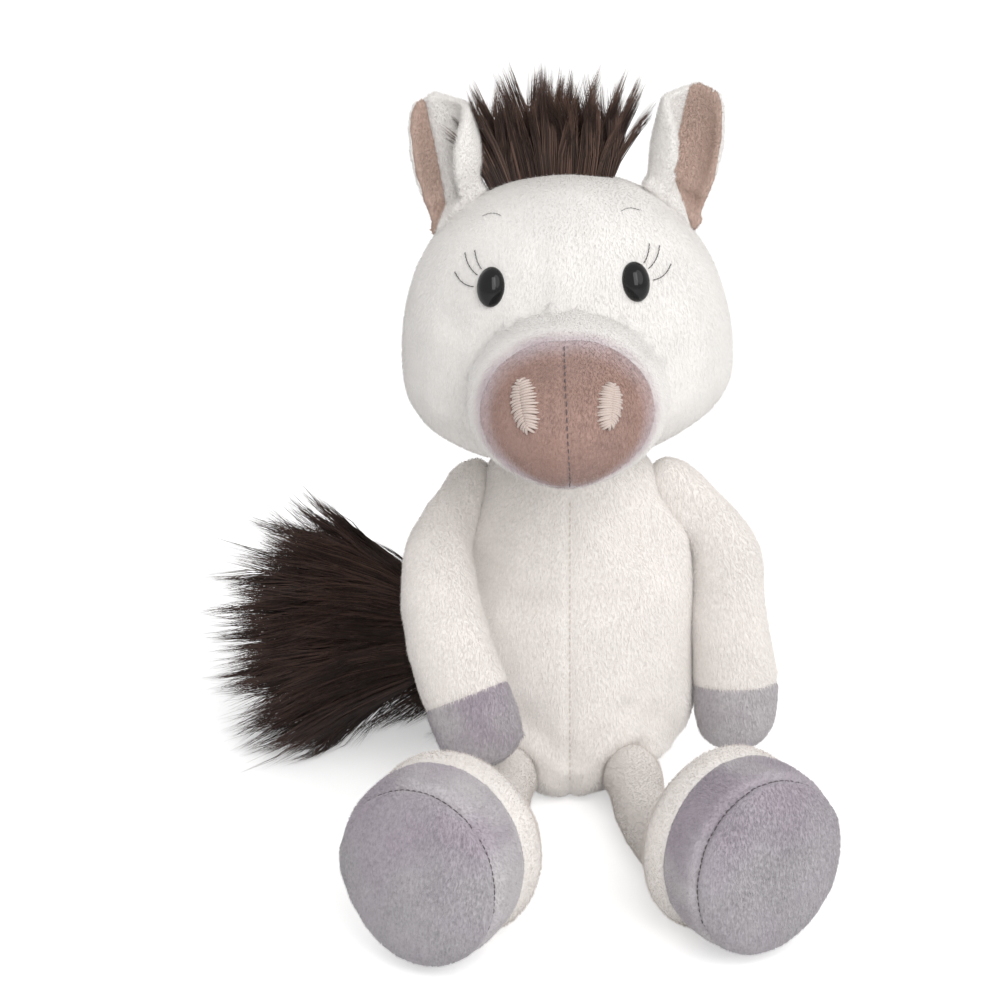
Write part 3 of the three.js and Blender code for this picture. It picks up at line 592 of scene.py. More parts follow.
def blow_up(piece, pinned, frames=20):
    """Stuffs the cloth: a cloth simulation with pressure inside, and seams that hold"""
    rest = places_of(piece.data)
    group = piece.vertex_groups.new(name="sewn")
    group.add([int(i) for i in np.nonzero(pinned)[0]], 1.0, "REPLACE")
    cloth = piece.modifiers.new("stuffing", "CLOTH")
    cloth.settings.quality = 5
    cloth.settings.use_pressure = True
    cloth.settings.uniform_pressure_force = 4
    cloth.settings.shrink_min = -sizes().slack
    cloth.settings.bending_stiffness = 2
    cloth.settings.vertex_group_mass = "sewn"
    cloth.settings.effector_weights.gravity = 0
    cloth.point_cache.frame_start = 1
    cloth.point_cache.frame_end = frames
    scene = bpy.context.scene
    for number in range(1, frames + 1):
        scene.frame_set(number)
    settle(piece)
    scene.frame_set(1)
    pushed = places_of(piece.data) - rest
    span = np.linalg.norm(pushed, axis=1)
    held = np.minimum(1, sizes().swell / np.maximum(span, 1e-9))
    move_points(piece.data, rest + pushed * held[:, None])


@functools.cache
def form_of(name):
    """The stuffed form of one body: its outline from the CAD, swollen, smoothed and fine"""
    size = sizes()
    piece = node_copy("form_" + name, FORM_NODES[name])
    with_modifier(piece, "REMESH", mode="VOXEL", voxel_size=size.voxel)
    with_modifier(piece, "SMOOTH", factor=0.5, iterations=7)
    mesh = piece.data
    away = distances(places_of(mesh), held_places(name))
    joined = np.exp(-((away / (9 * MM)) ** 2)) if name != "head" else np.zeros(len(away))
    inset = (size.margin + 0.5 * size.swell) * (1 - joined) - 1.2 * MM * joined
    move_points(mesh, places_of(mesh) - normals_of(mesh) * inset[:, None])
    blow_up(piece, away < 1.2 * size.voxel)
    for centre, radius, push in BULGES.get(name, ()):
        bulge(piece.data, centre, radius, push)
    with_modifier(piece, "SMOOTH", factor=0.5, iterations=2)
    with_modifier(piece, "SUBSURF", levels=1, render_levels=1)
    mesh = piece.data
    rest_on_floor(mesh, CLOTH_LIFT)
    smooth_faces(mesh)
    bpy.data.objects.remove(piece)
    return mesh


def muzzle_ring():
    """The places of the seam between head and muzzle"""
    return meeting_places(node_places("head_skin"), node_places("muzzle_skin"), SEAM_REACH)


def held_places(name):
    """Places where a form is sewn to its neighbour, which the filling can't push out"""
    if name == "head":
        return muzzle_ring()
    if name == "torso":
        limbs = [node_places(f"{kind}_{s}") for kind in ("arm_sleeve", "leg_skin") for s in SIDES]
        return meeting_places(node_places("torso_skin"), np.vstack(limbs), LIMB_REACH)
    kind, side = name.split("_")
    skin = {"arm": "arm_sleeve_", "leg": "leg_skin_"}[kind] + side
    return meeting_places(node_places(skin), node_places("torso_skin"), LIMB_REACH)


def cut_hidden(mesh, others, depth):
    """Takes away the points of a mesh that lie deeper than this inside one of the other forms"""
    surfaces = [surface_of(form_of(name)) for name in others]
    shape = bmesh.new()
    shape.from_mesh(mesh)
    gone = [v for v in shape.verts if any(depth_under(surface, v.co) > depth for surface in surfaces)]
    bmesh.ops.delete(shape, geom=gone, context="VERTS")
    shape.to_mesh(mesh)
    shape.free()


def depth_under(surface, place):
    near, normal, _, _ = surface.find_nearest(place)
    return (near - place).dot(normal)


def surface_of(mesh):
    return BVHTree.FromPolygons([v.co for v in mesh.vertices], [p.vertices for p in mesh.polygons])


# Patches of cloth

def patch(name, form, keep=None, cuts=()):
    """A patch of a form's cloth. Each cut is a plane, and the side that its normal points to goes."""
    shape = bmesh.new()
    shape.from_mesh(form)
    if keep is not None:
        bmesh.ops.delete(shape, geom=[f for f in shape.faces if not keep(f)], context="FACES")
    for centre, normal in cuts:
        bisect(shape, centre, normal, clear_outer=True)
    if keep is not None:
        even_edges(shape)
    mesh = mesh_from(shape, name)
    smooth_faces(mesh)
    return new_object(name, mesh)


def even_edges(shape, rounds=12):
    """Straightens the open edges of a patch, so that they don't follow the grid"""
    edges = [edge for edge in shape.edges if edge.is_boundary]
    beside = {}
    for edge in edges:
        first, second = edge.verts
        beside.setdefault(first, []).append(second)
        beside.setdefault(second, []).append(first)
    for _ in range(rounds):
        moved = {v: (v.co + 0.5 * (o[0].co + o[1].co)) / 2 for v, o in beside.items() if len(o) == 2}
        for vertex, place in moved.items():
            vertex.co = place


def thicken(piece):
    """Gives the cloth its thickness, inwards"""
    settings = {"thickness": sizes().cloth, "offset": -1, "use_rim": True, "use_even_offset": False}
    with_modifier(piece, "SOLIDIFY", **settings)
    smooth_faces(piece.data)


def tube(maker, line, radius, sides):
    """A closed tube along a curve"""
    ring = maker.add("GeometryNodeCurvePrimitiveCircle", {"Resolution": sides, "Radius": 1.0}, mode="RADIUS")
    values = {"Curve": line, "Profile Curve": ring.outputs[0], "Scale": radius, "Fill Caps": True}
    return maker.add("GeometryNodeCurveToMesh", values).outputs[0]


def finish_tree(maker, name, geometry, material):
    """Ends a tree in plain geometry with its material"""
    whole = maker.add("GeometryNodeRealizeInstances", {"Geometry": geometry}).outputs[0]
    dressed = maker.add("GeometryNodeSetMaterial", {"Geometry": whole, "Material": material})
    maker.add("NodeGroupOutput", {name: dressed.outputs[0]})


@once("node_groups")
def pile_tree(name):
    """Geometry nodes that grow short tufts on a patch, which says how they lean, how long and how dense"""
    inputs = {"Patch": "Geometry", "Cover": "Float", "Length": "Float", "Width": "Float", "Lean": "Float"}
    inputs |= {"Stray": "Float", "Seed": "Int", "Material": "Material"}
    tree, maker, given = new_tree(name, "GeometryNodeTree", inputs, {"Pile": "Geometry"})
    cover = maker.product(given["Cover"], maker.attribute("thick"))
    roots = maker.scatter(given["Patch"], cover, given["Seed"])
    normal = roots["Normal"]
    swirl = maker.swirl(maker.add("GeometryNodeInputPosition").outputs[0], 70.0)
    way = maker.vector("ADD", maker.attribute("nap", "FLOAT_VECTOR"), maker.scaled(swirl, 0.8))
    inward = maker.scaled(normal, maker.vector("DOT_PRODUCT", way, normal))
    along = maker.vector("NORMALIZE", maker.vector("SUBTRACT", way, inward))
    limits = {0: (-1.0, -1.0, -1.0), 1: (1.0, 1.0, 1.0)}
    chance = maker.add("FunctionNodeRandomValue", limits, data_type="FLOAT_VECTOR").outputs[0]
    stray = maker.scaled(chance, given["Stray"])
    leaning = maker.vector("ADD", normal, maker.scaled(along, given["Lean"]))
    growing = maker.vector("ADD", leaning, stray)
    turned = maker.add("FunctionNodeAlignRotationToVector", {"Vector": growing}, axis="Z").outputs[0]
    values = {"Vector": normal, "Rotation": turned}
    flat = maker.add("FunctionNodeAlignRotationToVector", values, axis="X", pivot_axis="Z")
    vary = maker.add("FunctionNodeRandomValue", {2: 0.65, 3: 1.2}, data_type="FLOAT").outputs[1]
    reach = maker.product(given["Length"], vary, maker.attribute("short"))
    edges = {0: maker.product(given["Width"], 0.5), 1: given["Width"], 2: reach}
    size = maker.add("ShaderNodeCombineXYZ", edges).outputs[0]
    cone = maker.add("GeometryNodeMeshCone", {"Vertices": 3, "Radius Bottom": 0.5, "Depth": 1.0})
    values = {"Points": roots["Points"], "Instance": cone.outputs["Mesh"]}
    values |= {"Rotation": flat.outputs[0], "Scale": size}
    tufts = maker.add("GeometryNodeInstanceOnPoints", values)
    finish_tree(maker, "Pile", tufts.outputs[0], given["Material"])
    return tree


def run_tree(piece, tree, values):
    """Runs geometry nodes on a piece and keeps the plain mesh that they make"""
    modifier = piece.modifiers.new(tree.name, "NODES")
    modifier.node_group = tree
    for item in tree.interface.items_tree:
        if item.in_out == "INPUT" and item.name in values:
            modifier[item.identifier] = values[item.name]
    settle(piece)


# How long the pile is at a seam and on the floor, as shares of its length, and up to what height the floor
# shortens it
SEAM_PILE = 0.3
FLOOR_PILE = 0.12
FLOOR_REACH = 3 * MM


def grow_pile(cloth, nap, seams=(), hidden=(), length=1.0, cover=1.0, lean=1.9, stray=0.25, seed=1):
    """Short pile on a patch: shorter at seams and the floor, thinner behind, none inside another form"""
    size = sizes()
    mesh = cloth.data.copy()
    places = places_of(mesh)
    short = np.clip(places[:, 2] / FLOOR_REACH, FLOOR_PILE, 1)
    if len(seams):
        away = distances(places, seams)
        short *= SEAM_PILE + (1 - SEAM_PILE) * np.clip(away / (2.2 * size.seam_width), 0, 1)
    store(mesh, "nap", np.array([nap(Vector(p)) for p in places]), "FLOAT_VECTOR")
    store(mesh, "short", short)
    store(mesh, "thick", np.clip(0.9 - 0.6 * normals_of(mesh)[:, 1], 0.5, 1))
    if hidden:
        cut_hidden(mesh, hidden, 2.5 * size.pile)
    pile = new_object(cloth.name.replace("_skin", "") + "_pile", mesh)
    values = {"Cover": cover * size.pile_cover / MM**2, "Length": length * size.pile, "Width": size.tuft}
    values |= {"Lean": lean, "Stray": stray, "Seed": seed, "Material": cloth.data.materials[0]}
    run_tree(pile, pile_tree("short_pile"), values)
    rest_on_floor(pile.data, PILE_LIFT)
    return pile


def cloth_and_pile(piece, body, slot, material, nodes, nap, fill=0.7, **pile_settings):
    """Finishes a patch: its pile first, then its thickness"""
    dress(piece, material)
    pile = grow_pile(piece, nap, **pile_settings)
    finish_piece(pile, body, slot, material)
    thicken(piece)
    finish_piece(piece, body, slot, material, nodes, fill)


def sewn_patch(form, body, slot, material, nodes, nap, keep=None, cuts=(), **settings):
    """A patch of a form with its pile, named after the first of the nodes that it stands for"""
    piece = patch(nodes[0] + "_cloth", form, keep, cuts)
    cloth_and_pile(piece, body, slot, material, nodes, nap, **settings)


# Long hair

@once("node_groups")
def hair_tree(name):
    """Geometry nodes that grow long strands. The patch says which way and how far they grow."""
    inputs = {"Patch": "Geometry", "Cover": "Float", "Width": "Float", "Clump": "Float"}
    inputs |= {"Clump Size": "Float", "Bend": "Float", "Droop": "Float"}
    inputs |= {"Steps": "Int", "Seed": "Int", "Material": "Material"}
    tree, maker, given = new_tree(name, "GeometryNodeTree", inputs, {"Hair": "Geometry"})
    points = maker.scatter(given["Patch"], given["Cover"], given["Seed"])["Points"]
    here = maker.add("GeometryNodeInputPosition").outputs[0]
    points = maker.stored(points, "root", here, "FLOAT_VECTOR")
    # Each strand's chance: it sets the strand's length, and in the hair's material its tone and painted
    # highlight
    chance = maker.add("FunctionNodeRandomValue", data_type="FLOAT").outputs[1]
    points = maker.stored(points, "streak", chance)
    line = maker.add("GeometryNodeCurvePrimitiveLine", {"End": (0.0, 0.0, 0.001)}).outputs[0]
    stepped = maker.add("GeometryNodeResampleCurve", {"Curve": line, "Count": given["Steps"]}).outputs[0]
    strands = maker.add("GeometryNodeInstanceOnPoints", {"Points": points, "Instance": stepped}).outputs[0]
    loose = maker.add("GeometryNodeRealizeInstances", {"Geometry": strands}).outputs[0]
    along = maker.add("GeometryNodeSplineParameter").outputs["Factor"]
    root = maker.attribute("root", "FLOAT_VECTOR")
    grow = maker.attribute("grow", "FLOAT_VECTOR")
    span = maker.vector("LENGTH", grow)
    squared = maker.product(along, along)
    # The hairs of one clump draw together and lean the same way, and each of them waves and sinks
    edges = {axis: given["Clump Size"] for axis in range(3)}
    cell_size = maker.add("ShaderNodeCombineXYZ", edges).outputs[0]
    cell = maker.vector("SNAP", root, cell_size)
    gather = maker.vector("SUBTRACT", maker.vector("ADD", cell, maker.scaled(cell_size, 0.5)), root)
    pulled = maker.scaled(gather, maker.product(maker.math("POWER", along, 1.5), given["Clump"]))
    ticket = maker.add("ShaderNodeTexWhiteNoise", {"Vector": cell}, noise_dimensions="3D").outputs[1]
    lean = maker.vector("SUBTRACT", ticket, (0.5, 0.5, 0.5))
    swung = maker.scaled(lean, maker.product(squared, given["Bend"], span))
    wave = maker.swirl(maker.vector("ADD", root, maker.scaled(grow, along)), 160.0)
    frizz = maker.scaled(wave, maker.product(along, span, 0.16))
    sunk = maker.scaled((0.0, 0.0, -1.0), maker.product(squared, span, given["Droop"]))
    # Each hair has its own length
    own = maker.math("MULTIPLY_ADD", maker.attribute("streak"), 0.35, 0.75)
    place = maker.vector("ADD", root, maker.scaled(grow, maker.product(along, own)))
    for part in (pulled, swung, frizz, sunk):
        place = maker.vector("ADD", place, part)
    laid = maker.add("GeometryNodeSetPosition", {"Geometry": loose, "Position": place}).outputs[0]
    taper = maker.math("SUBTRACT", 1.0, maker.math("POWER", along, 2.5))
    hairs = tube(maker, laid, maker.product(given["Width"], 0.5, taper), 3)
    finish_tree(maker, "Hair", hairs, given["Material"])
    return tree


def grow_hair(name, body, emitter, grow, count, nodes=(), material=None, width=1.0, clump=0.8, cell=5 * MM,
              bend=0.35, droop=0.0, steps=6, seed=1):
    """Long hair from a patch, where a function gives each root's way and length"""
    mesh = emitter.copy()
    store(mesh, "grow", np.array([grow(v.co, v.normal) for v in mesh.vertices]), "FLOAT_VECTOR")
    area = sum(p.area for p in mesh.polygons)
    piece = new_object(name, mesh)
    values = {"Cover": count / area, "Width": width * sizes().hair, "Clump": clump, "Clump Size": cell}
    values |= {"Bend": bend, "Droop": droop, "Steps": steps, "Seed": seed, "Material": material}
    run_tree(piece, hair_tree("long_hair"), values)
    rest_on_floor(piece.data, HAIR_LIFT)
    smooth_faces(piece.data)
    finish_piece(piece, body, "dark_fur", material, nodes)


# Threads

@once("node_groups")
def stitch_tree(name):
    """Geometry nodes that turn each loose edge into one stitch of thread, arched by its lift"""
    inputs = {"Edges": "Geometry", "Thread": "Float", "Material": "Material"}
    tree, maker, given = new_tree(name, "GeometryNodeTree", inputs, {"Stitches": "Geometry"})
    curve = maker.add("GeometryNodeMeshToCurve", {"Mesh": given["Edges"]}).outputs[0]
    stepped = maker.add("GeometryNodeResampleCurve", {"Curve": curve, "Count": 7}).outputs[0]
    along = maker.add("GeometryNodeSplineParameter").outputs["Factor"]
    arch = maker.product(along, maker.math("SUBTRACT", 1.0, along), 4.0)
    lift = maker.scaled(maker.attribute("lift", "FLOAT_VECTOR"), arch)
    raised = maker.add("GeometryNodeSetPosition", {"Geometry": stepped, "Offset": lift}).outputs[0]
    full = maker.math("POWER", maker.math("ADD", arch, 0.02), 0.3)
    threads = tube(maker, raised, maker.product(given["Thread"], full), 6)
    finish_tree(maker, "Stitches", threads, given["Material"])
    return tree


def sew(name, body, stitches, slot, material, thread=1.0, nodes=()):
    """Thread for a list of stitches: each has its start, its end and the lift of its middle"""
    mesh = bpy.data.meshes.new(name)
    places = [tuple(place) for stitch in stitches for place in stitch[:2]]
    mesh.from_pydata(places, [(2 * i, 2 * i + 1) for i in range(len(stitches))], [])
    store(mesh, "lift", [tuple(stitch[2]) for stitch in stitches for _ in range(2)], "FLOAT_VECTOR")
    piece = new_object(name, mesh)
    run_tree(piece, stitch_tree("stitches"), {"Thread": thread * sizes().thread, "Material": material})
    smooth_faces(piece.data)
    finish_piece(piece, body, slot, material, nodes)


def running_stitches(line, rise, spacing=2.7 * MM, stitch=1.9 * MM):
    """Short stitches laid end to end along a line of places, each raised by rise"""
    line = [Vector(p) for p in line]
    stitches = []
    travelled, due = 0.0, spacing
    for before, after in zip(line, line[1:]):
        step = after - before
        while step.length > 1e-7 and travelled + step.length >= due:
            middle = before + step * ((due - travelled) / step.length)
            half = step.normalized() * 0.5 * stitch
            stitches.append((middle - half, middle + half, rise(middle)))
            due += spacing
        travelled += step.length
    return stitches


def off_surface(surface, height):
    """A lift for stitches: this high off a surface"""
    return lambda place: surface.find_nearest(place)[1] * height


# Torso

def hanging_nap(place):
    return Vector((0, 0, -1))


def body_plush():
    return pile_material("body_plush", colours().body, grain=0.8)


def make_torso():
    size = sizes()
    form = form_of("torso").copy()
    line = cut_line(form, (0, 0, 0), (1, 0, 0))
    pull_in(form, line, 0.9 * size.seam_depth, 0.8 * size.seam_width)
    piece = patch("torso_skin_cloth", form)
    front = line[(line[:, 1] < -10 * MM) & (line[:, 2] < 115 * MM) & (line[:, 2] > 12 * MM)]
    stitches = running_stitches(front[np.argsort(-front[:, 2])], lambda place: (0, -0.5 * MM, 0))
    cotton = thread_material("cream_thread", colours().cotton)
    sew("torso_stitches", "torso", stitches, "cream_pile", cotton, 0.65)
    settings = {"seams": line, "hidden": ("head",), "cover": 0.65, "seed": 11}
    cloth_and_pile(piece, "torso", "cream_pile", body_plush(), FORM_NODES["torso"], hanging_nap, **settings)


# Head

class HeadAxes:
    """The head's own axes, which lean a little to one side: across, back and up"""

    def __init__(self):
        left = Vector(frame_joint("ear_left_fold")["pos_m"])
        right = Vector(frame_joint("ear_right_fold")["pos_m"])
        self.middle = 0.5 * (left + right)
        self.across = (left - right).normalized()
        self.back = Vector((0, 1, 0))
        self.up = self.across.cross(self.back)

        # The way the camera looks
        self.inward = self.back * math.cos(CAMERA_ELEVATION) - self.up * math.sin(CAMERA_ELEVATION)
        self.rise = self.across.cross(self.inward)

    def onto(self, surface, start, across=0.0, rise=0.0):
        """The place and normal on a surface this far beside and above a start, as seen from the front"""
        beside = start + self.across * across + self.rise * rise
        place, normal, _, _ = surface.ray_cast(beside - self.inward * 200 * MM, self.inward)
        return place, normal


def frame_joint(name):
    return next(j for j in frame["joints"] if j["name"] == name)


def head_nap(place):
    return Vector((place.x * 6, -0.6, -1))


def muzzle_nap(place):
    return Vector((place.x * 8, -0.3, -1))


def nearer(mine, others):
    """A test for places: true where these nodes are nearer than the others"""
    trees = [tree_of(np.vstack([node_places(node) for node in nodes])) for nodes in (mine, others)]
    return lambda place: trees[0].find(place)[2] < trees[1].find(place)[2]


def round_muzzle(mesh, ring, nose, push):
    """Swells the muzzle between its two seams, most half-way"""
    places = places_of(mesh)
    belongs = nearer(("muzzle_skin", "nose_patch"), ("head_skin",))
    mine = np.array([belongs(Vector(place)) for place in places])
    from_ring = np.clip(distances(places, ring) / (9 * MM), 0, 1)
    from_nose = np.clip(-nose.depth(places) / (14 * MM), 0, 1)
    share = mine * np.sin(from_ring * math.pi / 2) * from_nose**0.7
    move_points(mesh, places + normals_of(mesh) * push * share[:, None])


# Where the nose is fuller than its form, in millimetres: places off its seam's middle, how far round, the push
NOSE_BULGES = (
    ((0, -4, 0), 32, (0, -1.5, 0)),
    ((0, -6, -22), 15, (0, -1, -1.5)),
)


def make_head():
    """Head and muzzle in white pile as far as the nose's seam, and the nose beyond it"""
    form = form_of("head").copy()
    ring = muzzle_ring()
    nose = FlatSeam("muzzle_skin", "nose_patch")
    axes = HeadAxes()
    size = sizes()
    round_muzzle(form, ring, nose, 2.4 * MM)
    pull_in(form, ring, 0.5 * size.seam_depth, 0.9 * size.seam_width)
    for offset, radius, push in NOSE_BULGES:
        bulge(form, nose.centre / MM + Vector(offset), radius, push)
    centre = nose.centre - nose.normal * 2.2 * MM
    normal = (nose.normal + axes.up * 0.13).normalized()
    fade = edge_mask(centre, normal, 6 * MM, 30 * MM)
    white = pile_material("head_plush", colours().head, fade, colours().blush, 0.45)
    crease = ring[ring[:, 2] > nose.centre[2]] + np.array((0, -2 * MM, -3.5 * MM))
    sparse = np.vstack([*(node_places("eye_" + side) for side in SIDES), ring, crease])
    nodes = ("head_skin", "head_stuffing", "muzzle_skin")
    settings = {"cuts": [(centre, normal)], "seams": sparse, "cover": 0.55, "seed": 21}
    sewn_patch(form, "head", "white_pile", white, nodes, head_nap, **settings)
    make_nose(form, centre, normal, axes)


def make_nose(form, centre, normal, axes):
    """The cap beyond a plane, with a stitched seam down its middle, and the nostrils"""
    size = sizes()
    middle = cut_line(form, centre, axes.across)
    seam = middle[(middle - np.array(centre)) @ np.array(normal) > 0]
    cap = patch("nose_patch_cloth", form, cuts=[(centre, -normal)])
    pull_in(cap.data, seam, 0.6 * size.seam_depth, 0.6 * size.seam_width)
    surface = surface_of(cap.data)
    fade = edge_mask(centre, normal, 20 * MM, 7 * MM)
    brown = pile_material("nose_plush", colours().nose, fade, colours().blush, 2.4, 1.4)
    settings = {"seams": seam, "seed": 23, "length": 0.75, "cover": 1.1}
    cloth_and_pile(cap, "head", "nose_pile", brown, ("nose_patch",), muzzle_nap, **settings)
    dark = thread_material("seam_thread", colours().seam)
    stitches = running_stitches(seam[np.argsort(-seam[:, 2])], off_surface(surface, 0.5 * MM))
    sew("nose_stitches", "head", stitches, "nose_pile", dark)
    for side in SIDES:
        make_nostril(side, surface)


# Half the length and half the width of each nostril, and how far above its place in the CAD it lies,
# in millimetres
NOSTRIL_SIZES = {"left": (8.3, 4.7, 1.8), "right": (10.0, 5.2, 3.0)}


def make_nostril(side, surface, count=19):
    """An oval of satin stitches that run from a raised vein to both sides"""
    places = node_places("nostril_" + side)
    half_length, half_width, rise = (value * MM for value in NOSTRIL_SIZES[side])
    centre, out, _, _ = surface.find_nearest(Vector(places.mean(0)) + Vector((0, 0, rise)))
    long_way = Vector(np.linalg.svd(places - places.mean(0), full_matrices=False)[2][0])
    long_way = (long_way - out * long_way.dot(out)).normalized()
    long_way = long_way if long_way.z > 0 else -long_way
    wide_way = out.cross(long_way)
    stitches = []
    for hand in (-1, 1):
        for index in range(count):
            share = 2 * (index + 0.5) / count - 1
            width = half_width * (1 - abs(share) ** 2.4) ** 0.5 * (1 + 0.12 * math.sin(index * 2.4 + hand))
            vein = centre + long_way * 0.8 * half_length * share - wide_way * hand * 0.8 * MM
            rim = centre + long_way * (1.08 * half_length * share - 0.5 * MM) + wide_way * hand * width
            vein = surface.find_nearest(vein)[0] + out * 1.1 * MM
            rim = surface.find_nearest(rim)[0] - out * 0.3 * MM
            stitches.append((vein, rim, out * (1.3 * MM)))
    satin = thread_material("satin_thread", colours().nostril, 0.4)
    sew("nostril_stitches_" + side, "head", stitches, "thread", satin, 2.5, ("nostril_" + side,))


# Three points of each lash and of the brow: millimetres outwards and upwards from the eye's middle
LASHES = (
    ((5.3, 0.4), (9.6, 2.1), (12.5, 6.3)),
    ((4.0, 4.1), (7.1, 7.7), (8.6, 12.4)),
    ((2.5, 6.0), (4.3, 9.2), (5.1, 13.5)),
)
BROW = ((-4.5, 25.0), (-1.5, 26.5), (2.0, 26.0))


def bowed(points, steps=8):
    """Places along a smooth bow through three points of a plane"""
    first, middle, last = (Vector(point) for point in points)
    handle = 2 * middle - 0.5 * (first + last)
    shares = [i / steps for i in range(steps + 1)]
    return [first * (1 - t) ** 2 + handle * 2 * t * (1 - t) + last * t**2 for t in shares]


# Half the width, half the height and half the depth of an eye
EYE_SIZES = (5.0 * MM, 7.1 * MM, 4.2 * MM)


def make_eye(side, material, centre, out, up):
    """A glossy oval that stands upright on the face"""
    high = (up - out * up.dot(out)).normalized()
    turn = Matrix((high.cross(out), high, out)).transposed() @ Matrix.Diagonal(EYE_SIZES)
    shape = bmesh.new()
    bmesh.ops.create_uvsphere(shape, u_segments=48, v_segments=24, radius=1)
    bmesh.ops.transform(shape, matrix=Matrix.Translation(centre) @ turn.to_4x4(), verts=shape.verts)
    bmesh.ops.recalc_face_normals(shape, faces=shape.faces)
    mesh = mesh_from(shape, "eye_dome_" + side)
    smooth_faces(mesh)
    finish_piece(new_object(mesh.name, mesh), "head", "black_gloss", material, ("eye_" + side,))


def make_face():
    """The eyes, with their lashes and brows"""
    surface = surface_of(form_of("head"))
    axes = HeadAxes()
    gloss = gloss_material()
    black = thread_material("black_thread", colours().black)
    for side, hand in (("left", 1), ("right", -1)):
        centre, out = axes.onto(surface, Vector(node_places("eye_" + side).mean(0)))
        make_eye(side, gloss, centre, out, axes.up)
        for name, lines, rise, thread in (("lashes", LASHES, 0.7, 0.75), ("brow", (BROW,), 0.3, 0.5)):
            stitches = []
            for line in lines:
                spots = [axes.onto(surface, centre, hand * p.x * MM, p.y * MM)[0] for p in bowed(line)]
                stitches += running_stitches(spots, off_surface(surface, rise * MM), 1.35 * MM, 1.3 * MM)
            sew(f"{name}_{side}", "head", stitches, "black_gloss", black, thread)


# Ears

# How far out from an ear's middle its white fold ends, and below what height that edge runs further out,
# in millimetres
EAR_FOLDS = {"left": (-3.0, 12.0), "right": (4.4, 3.0)}


def make_ear(side):
    """A rolled ear: a white leaf with a mauve lining"""
    outer, lining = "ear_outer_" + side, "ear_lining_" + side
    piece = node_copy("ear", (outer, lining))
    with_modifier(piece, "REMESH", mode="VOXEL", voxel_size=sizes().ear_voxel)
    with_modifier(piece, "SMOOTH", factor=0.5, iterations=8)
    mesh = piece.data
    move_points(mesh, places_of(mesh) + normals_of(mesh) * 0.35 * MM)
    base = Vector(frame_joint(f"ear_{side}_fold")["pos_m"])
    tip = Vector(max(node_places(outer), key=lambda place: place[2]))
    outward = Vector((0, 1, 0)).cross(tip - base).normalized() * (1 if side == "left" else -1)
    edge, low = (x * MM for x in EAR_FOLDS[side])
    near_lining = nearer((lining,), (outer,))

    def inside(face):
        middle = face.calc_center_median()
        height = (middle - base).dot((tip - base).normalized())
        fold = edge + 0.6 * max(0, low - height)
        known = near_lining(middle) or height < low
        return face.normal.y < 0.3 and (middle - base).dot(outward) > fold and known

    across = (places_of(mesh) - np.array(base)) @ np.array(outward)
    front = np.clip(-1.6 * normals_of(mesh)[:, 1], 0, 1)
    rise = np.clip((edge - across) / (2.5 * MM), 0, 1) * front
    move_points(mesh, places_of(mesh) - np.outer(rise, (0, 1.6 * MM, 0)))
    white = pile_material("ear_plush", colours().head, grain=0.6)
    brown = pile_material("lining_plush", colours().lining, grain=1.6, blotch=0.8)
    shared = {"body": "ear_" + side, "nap": toward(base, tip), "fill": None, "cover": 1.6}
    leaf = {"nodes": (outer,), "length": 0.75, "lean": 0.9, "seed": 51}
    leaf["keep"] = lambda face: not inside(face)
    sewn_patch(mesh, slot="white_pile", material=white, **leaf, **shared)
    pad = {"nodes": (lining,), "keep": inside, "length": 0.6, "lean": 0.8, "seed": 52}
    sewn_patch(mesh, slot="ear_lining_pile", material=brown, **pad, **shared)
    bpy.data.objects.remove(piece)


# Hair

def emitter_near(form, node, reach, keep=lambda place: True, also=lambda place: False):
    """The part of a form that lies near a node, as a patch for roots"""
    tree = tree_of(node_places(node))

    def near(face):
        middle = face.calc_center_median()
        return (tree.find(middle)[2] < reach and keep(middle)) or also(middle)

    piece = patch("roots", form, keep=near)
    mesh = piece.data
    bpy.data.objects.remove(piece)
    return mesh


def make_forelock():
    axes = HeadAxes()
    places = node_places("forelock")
    centre = Vector(places.mean(0)) - axes.middle
    middle, spread = centre.dot(axes.across), 24 * MM
    size = sizes()

    def keep(place):
        last = 4 * MM if place.x < -27 * MM else 20 * MM
        return 0.5 * MM < place.y < last and -29.5 * MM < place.x < 17 * MM

    emitter = emitter_near(form_of("head"), "forelock", 5.5 * MM, keep)

    def grow(place, normal):
        share = ((place - axes.middle).dot(axes.across) - middle) / spread
        back = 0.1 - 8 * (place.y - 6 * MM)
        way = axes.up + axes.across * (0.42 if share > 0 else 0.45) * share + axes.back * back
        return way.normalized() * size.forelock * (1 - 0.12 * abs(share))

    # Painted light: a lighter copy of the tail's brown, for the lit top of the head
    crest = hair_material("crest_hair", colours().crest)
    settings = {"clump": 0.4, "cell": 2.3 * MM, "bend": 0.6, "steps": 5, "seed": 61, "width": 0.9}
    grow_hair("forelock_hair", "head", emitter, grow, 6000, ("forelock",), crest, **settings)


def make_mane():
    axes = HeadAxes()
    size = sizes()
    side = Vector(node_places("mane").mean(0)).x

    def crown(place):
        return abs(place.x - side) < 11 * MM and 5 * MM < place.y < 30 * MM and place.z > 205 * MM

    emitter = emitter_near(form_of("head"), "mane", 6.5 * MM, also=crown)

    def grow(place, normal):
        flat = max(0, normal.dot(axes.up))
        way = normal - axes.up * 0.8 * (1 - flat) + axes.back * 0.9 * flat
        way += axes.across * 20 * (place.x - side)
        return way.normalized() * size.mane * (1 + 0.3 * flat)

    # Painted light: the same lighter copy of the tail's brown as the forelock
    crest = hair_material("crest_hair", colours().crest)
    settings = {"clump": 0.7, "cell": 4 * MM, "bend": 0.5, "droop": 0.25, "steps": 5, "seed": 62}
    grow_hair("mane_hair", "head", emitter, grow, 6200, ("mane",), crest, **settings)


# The middle of the tail's core, how far from it the core keeps its shape, and how far the hairs reach from it
TAIL_WAIST = Vector((-56 * MM, 40 * MM, 41 * MM))
TAIL_CORE = 30 * MM
TAIL_REACH = 84 * MM


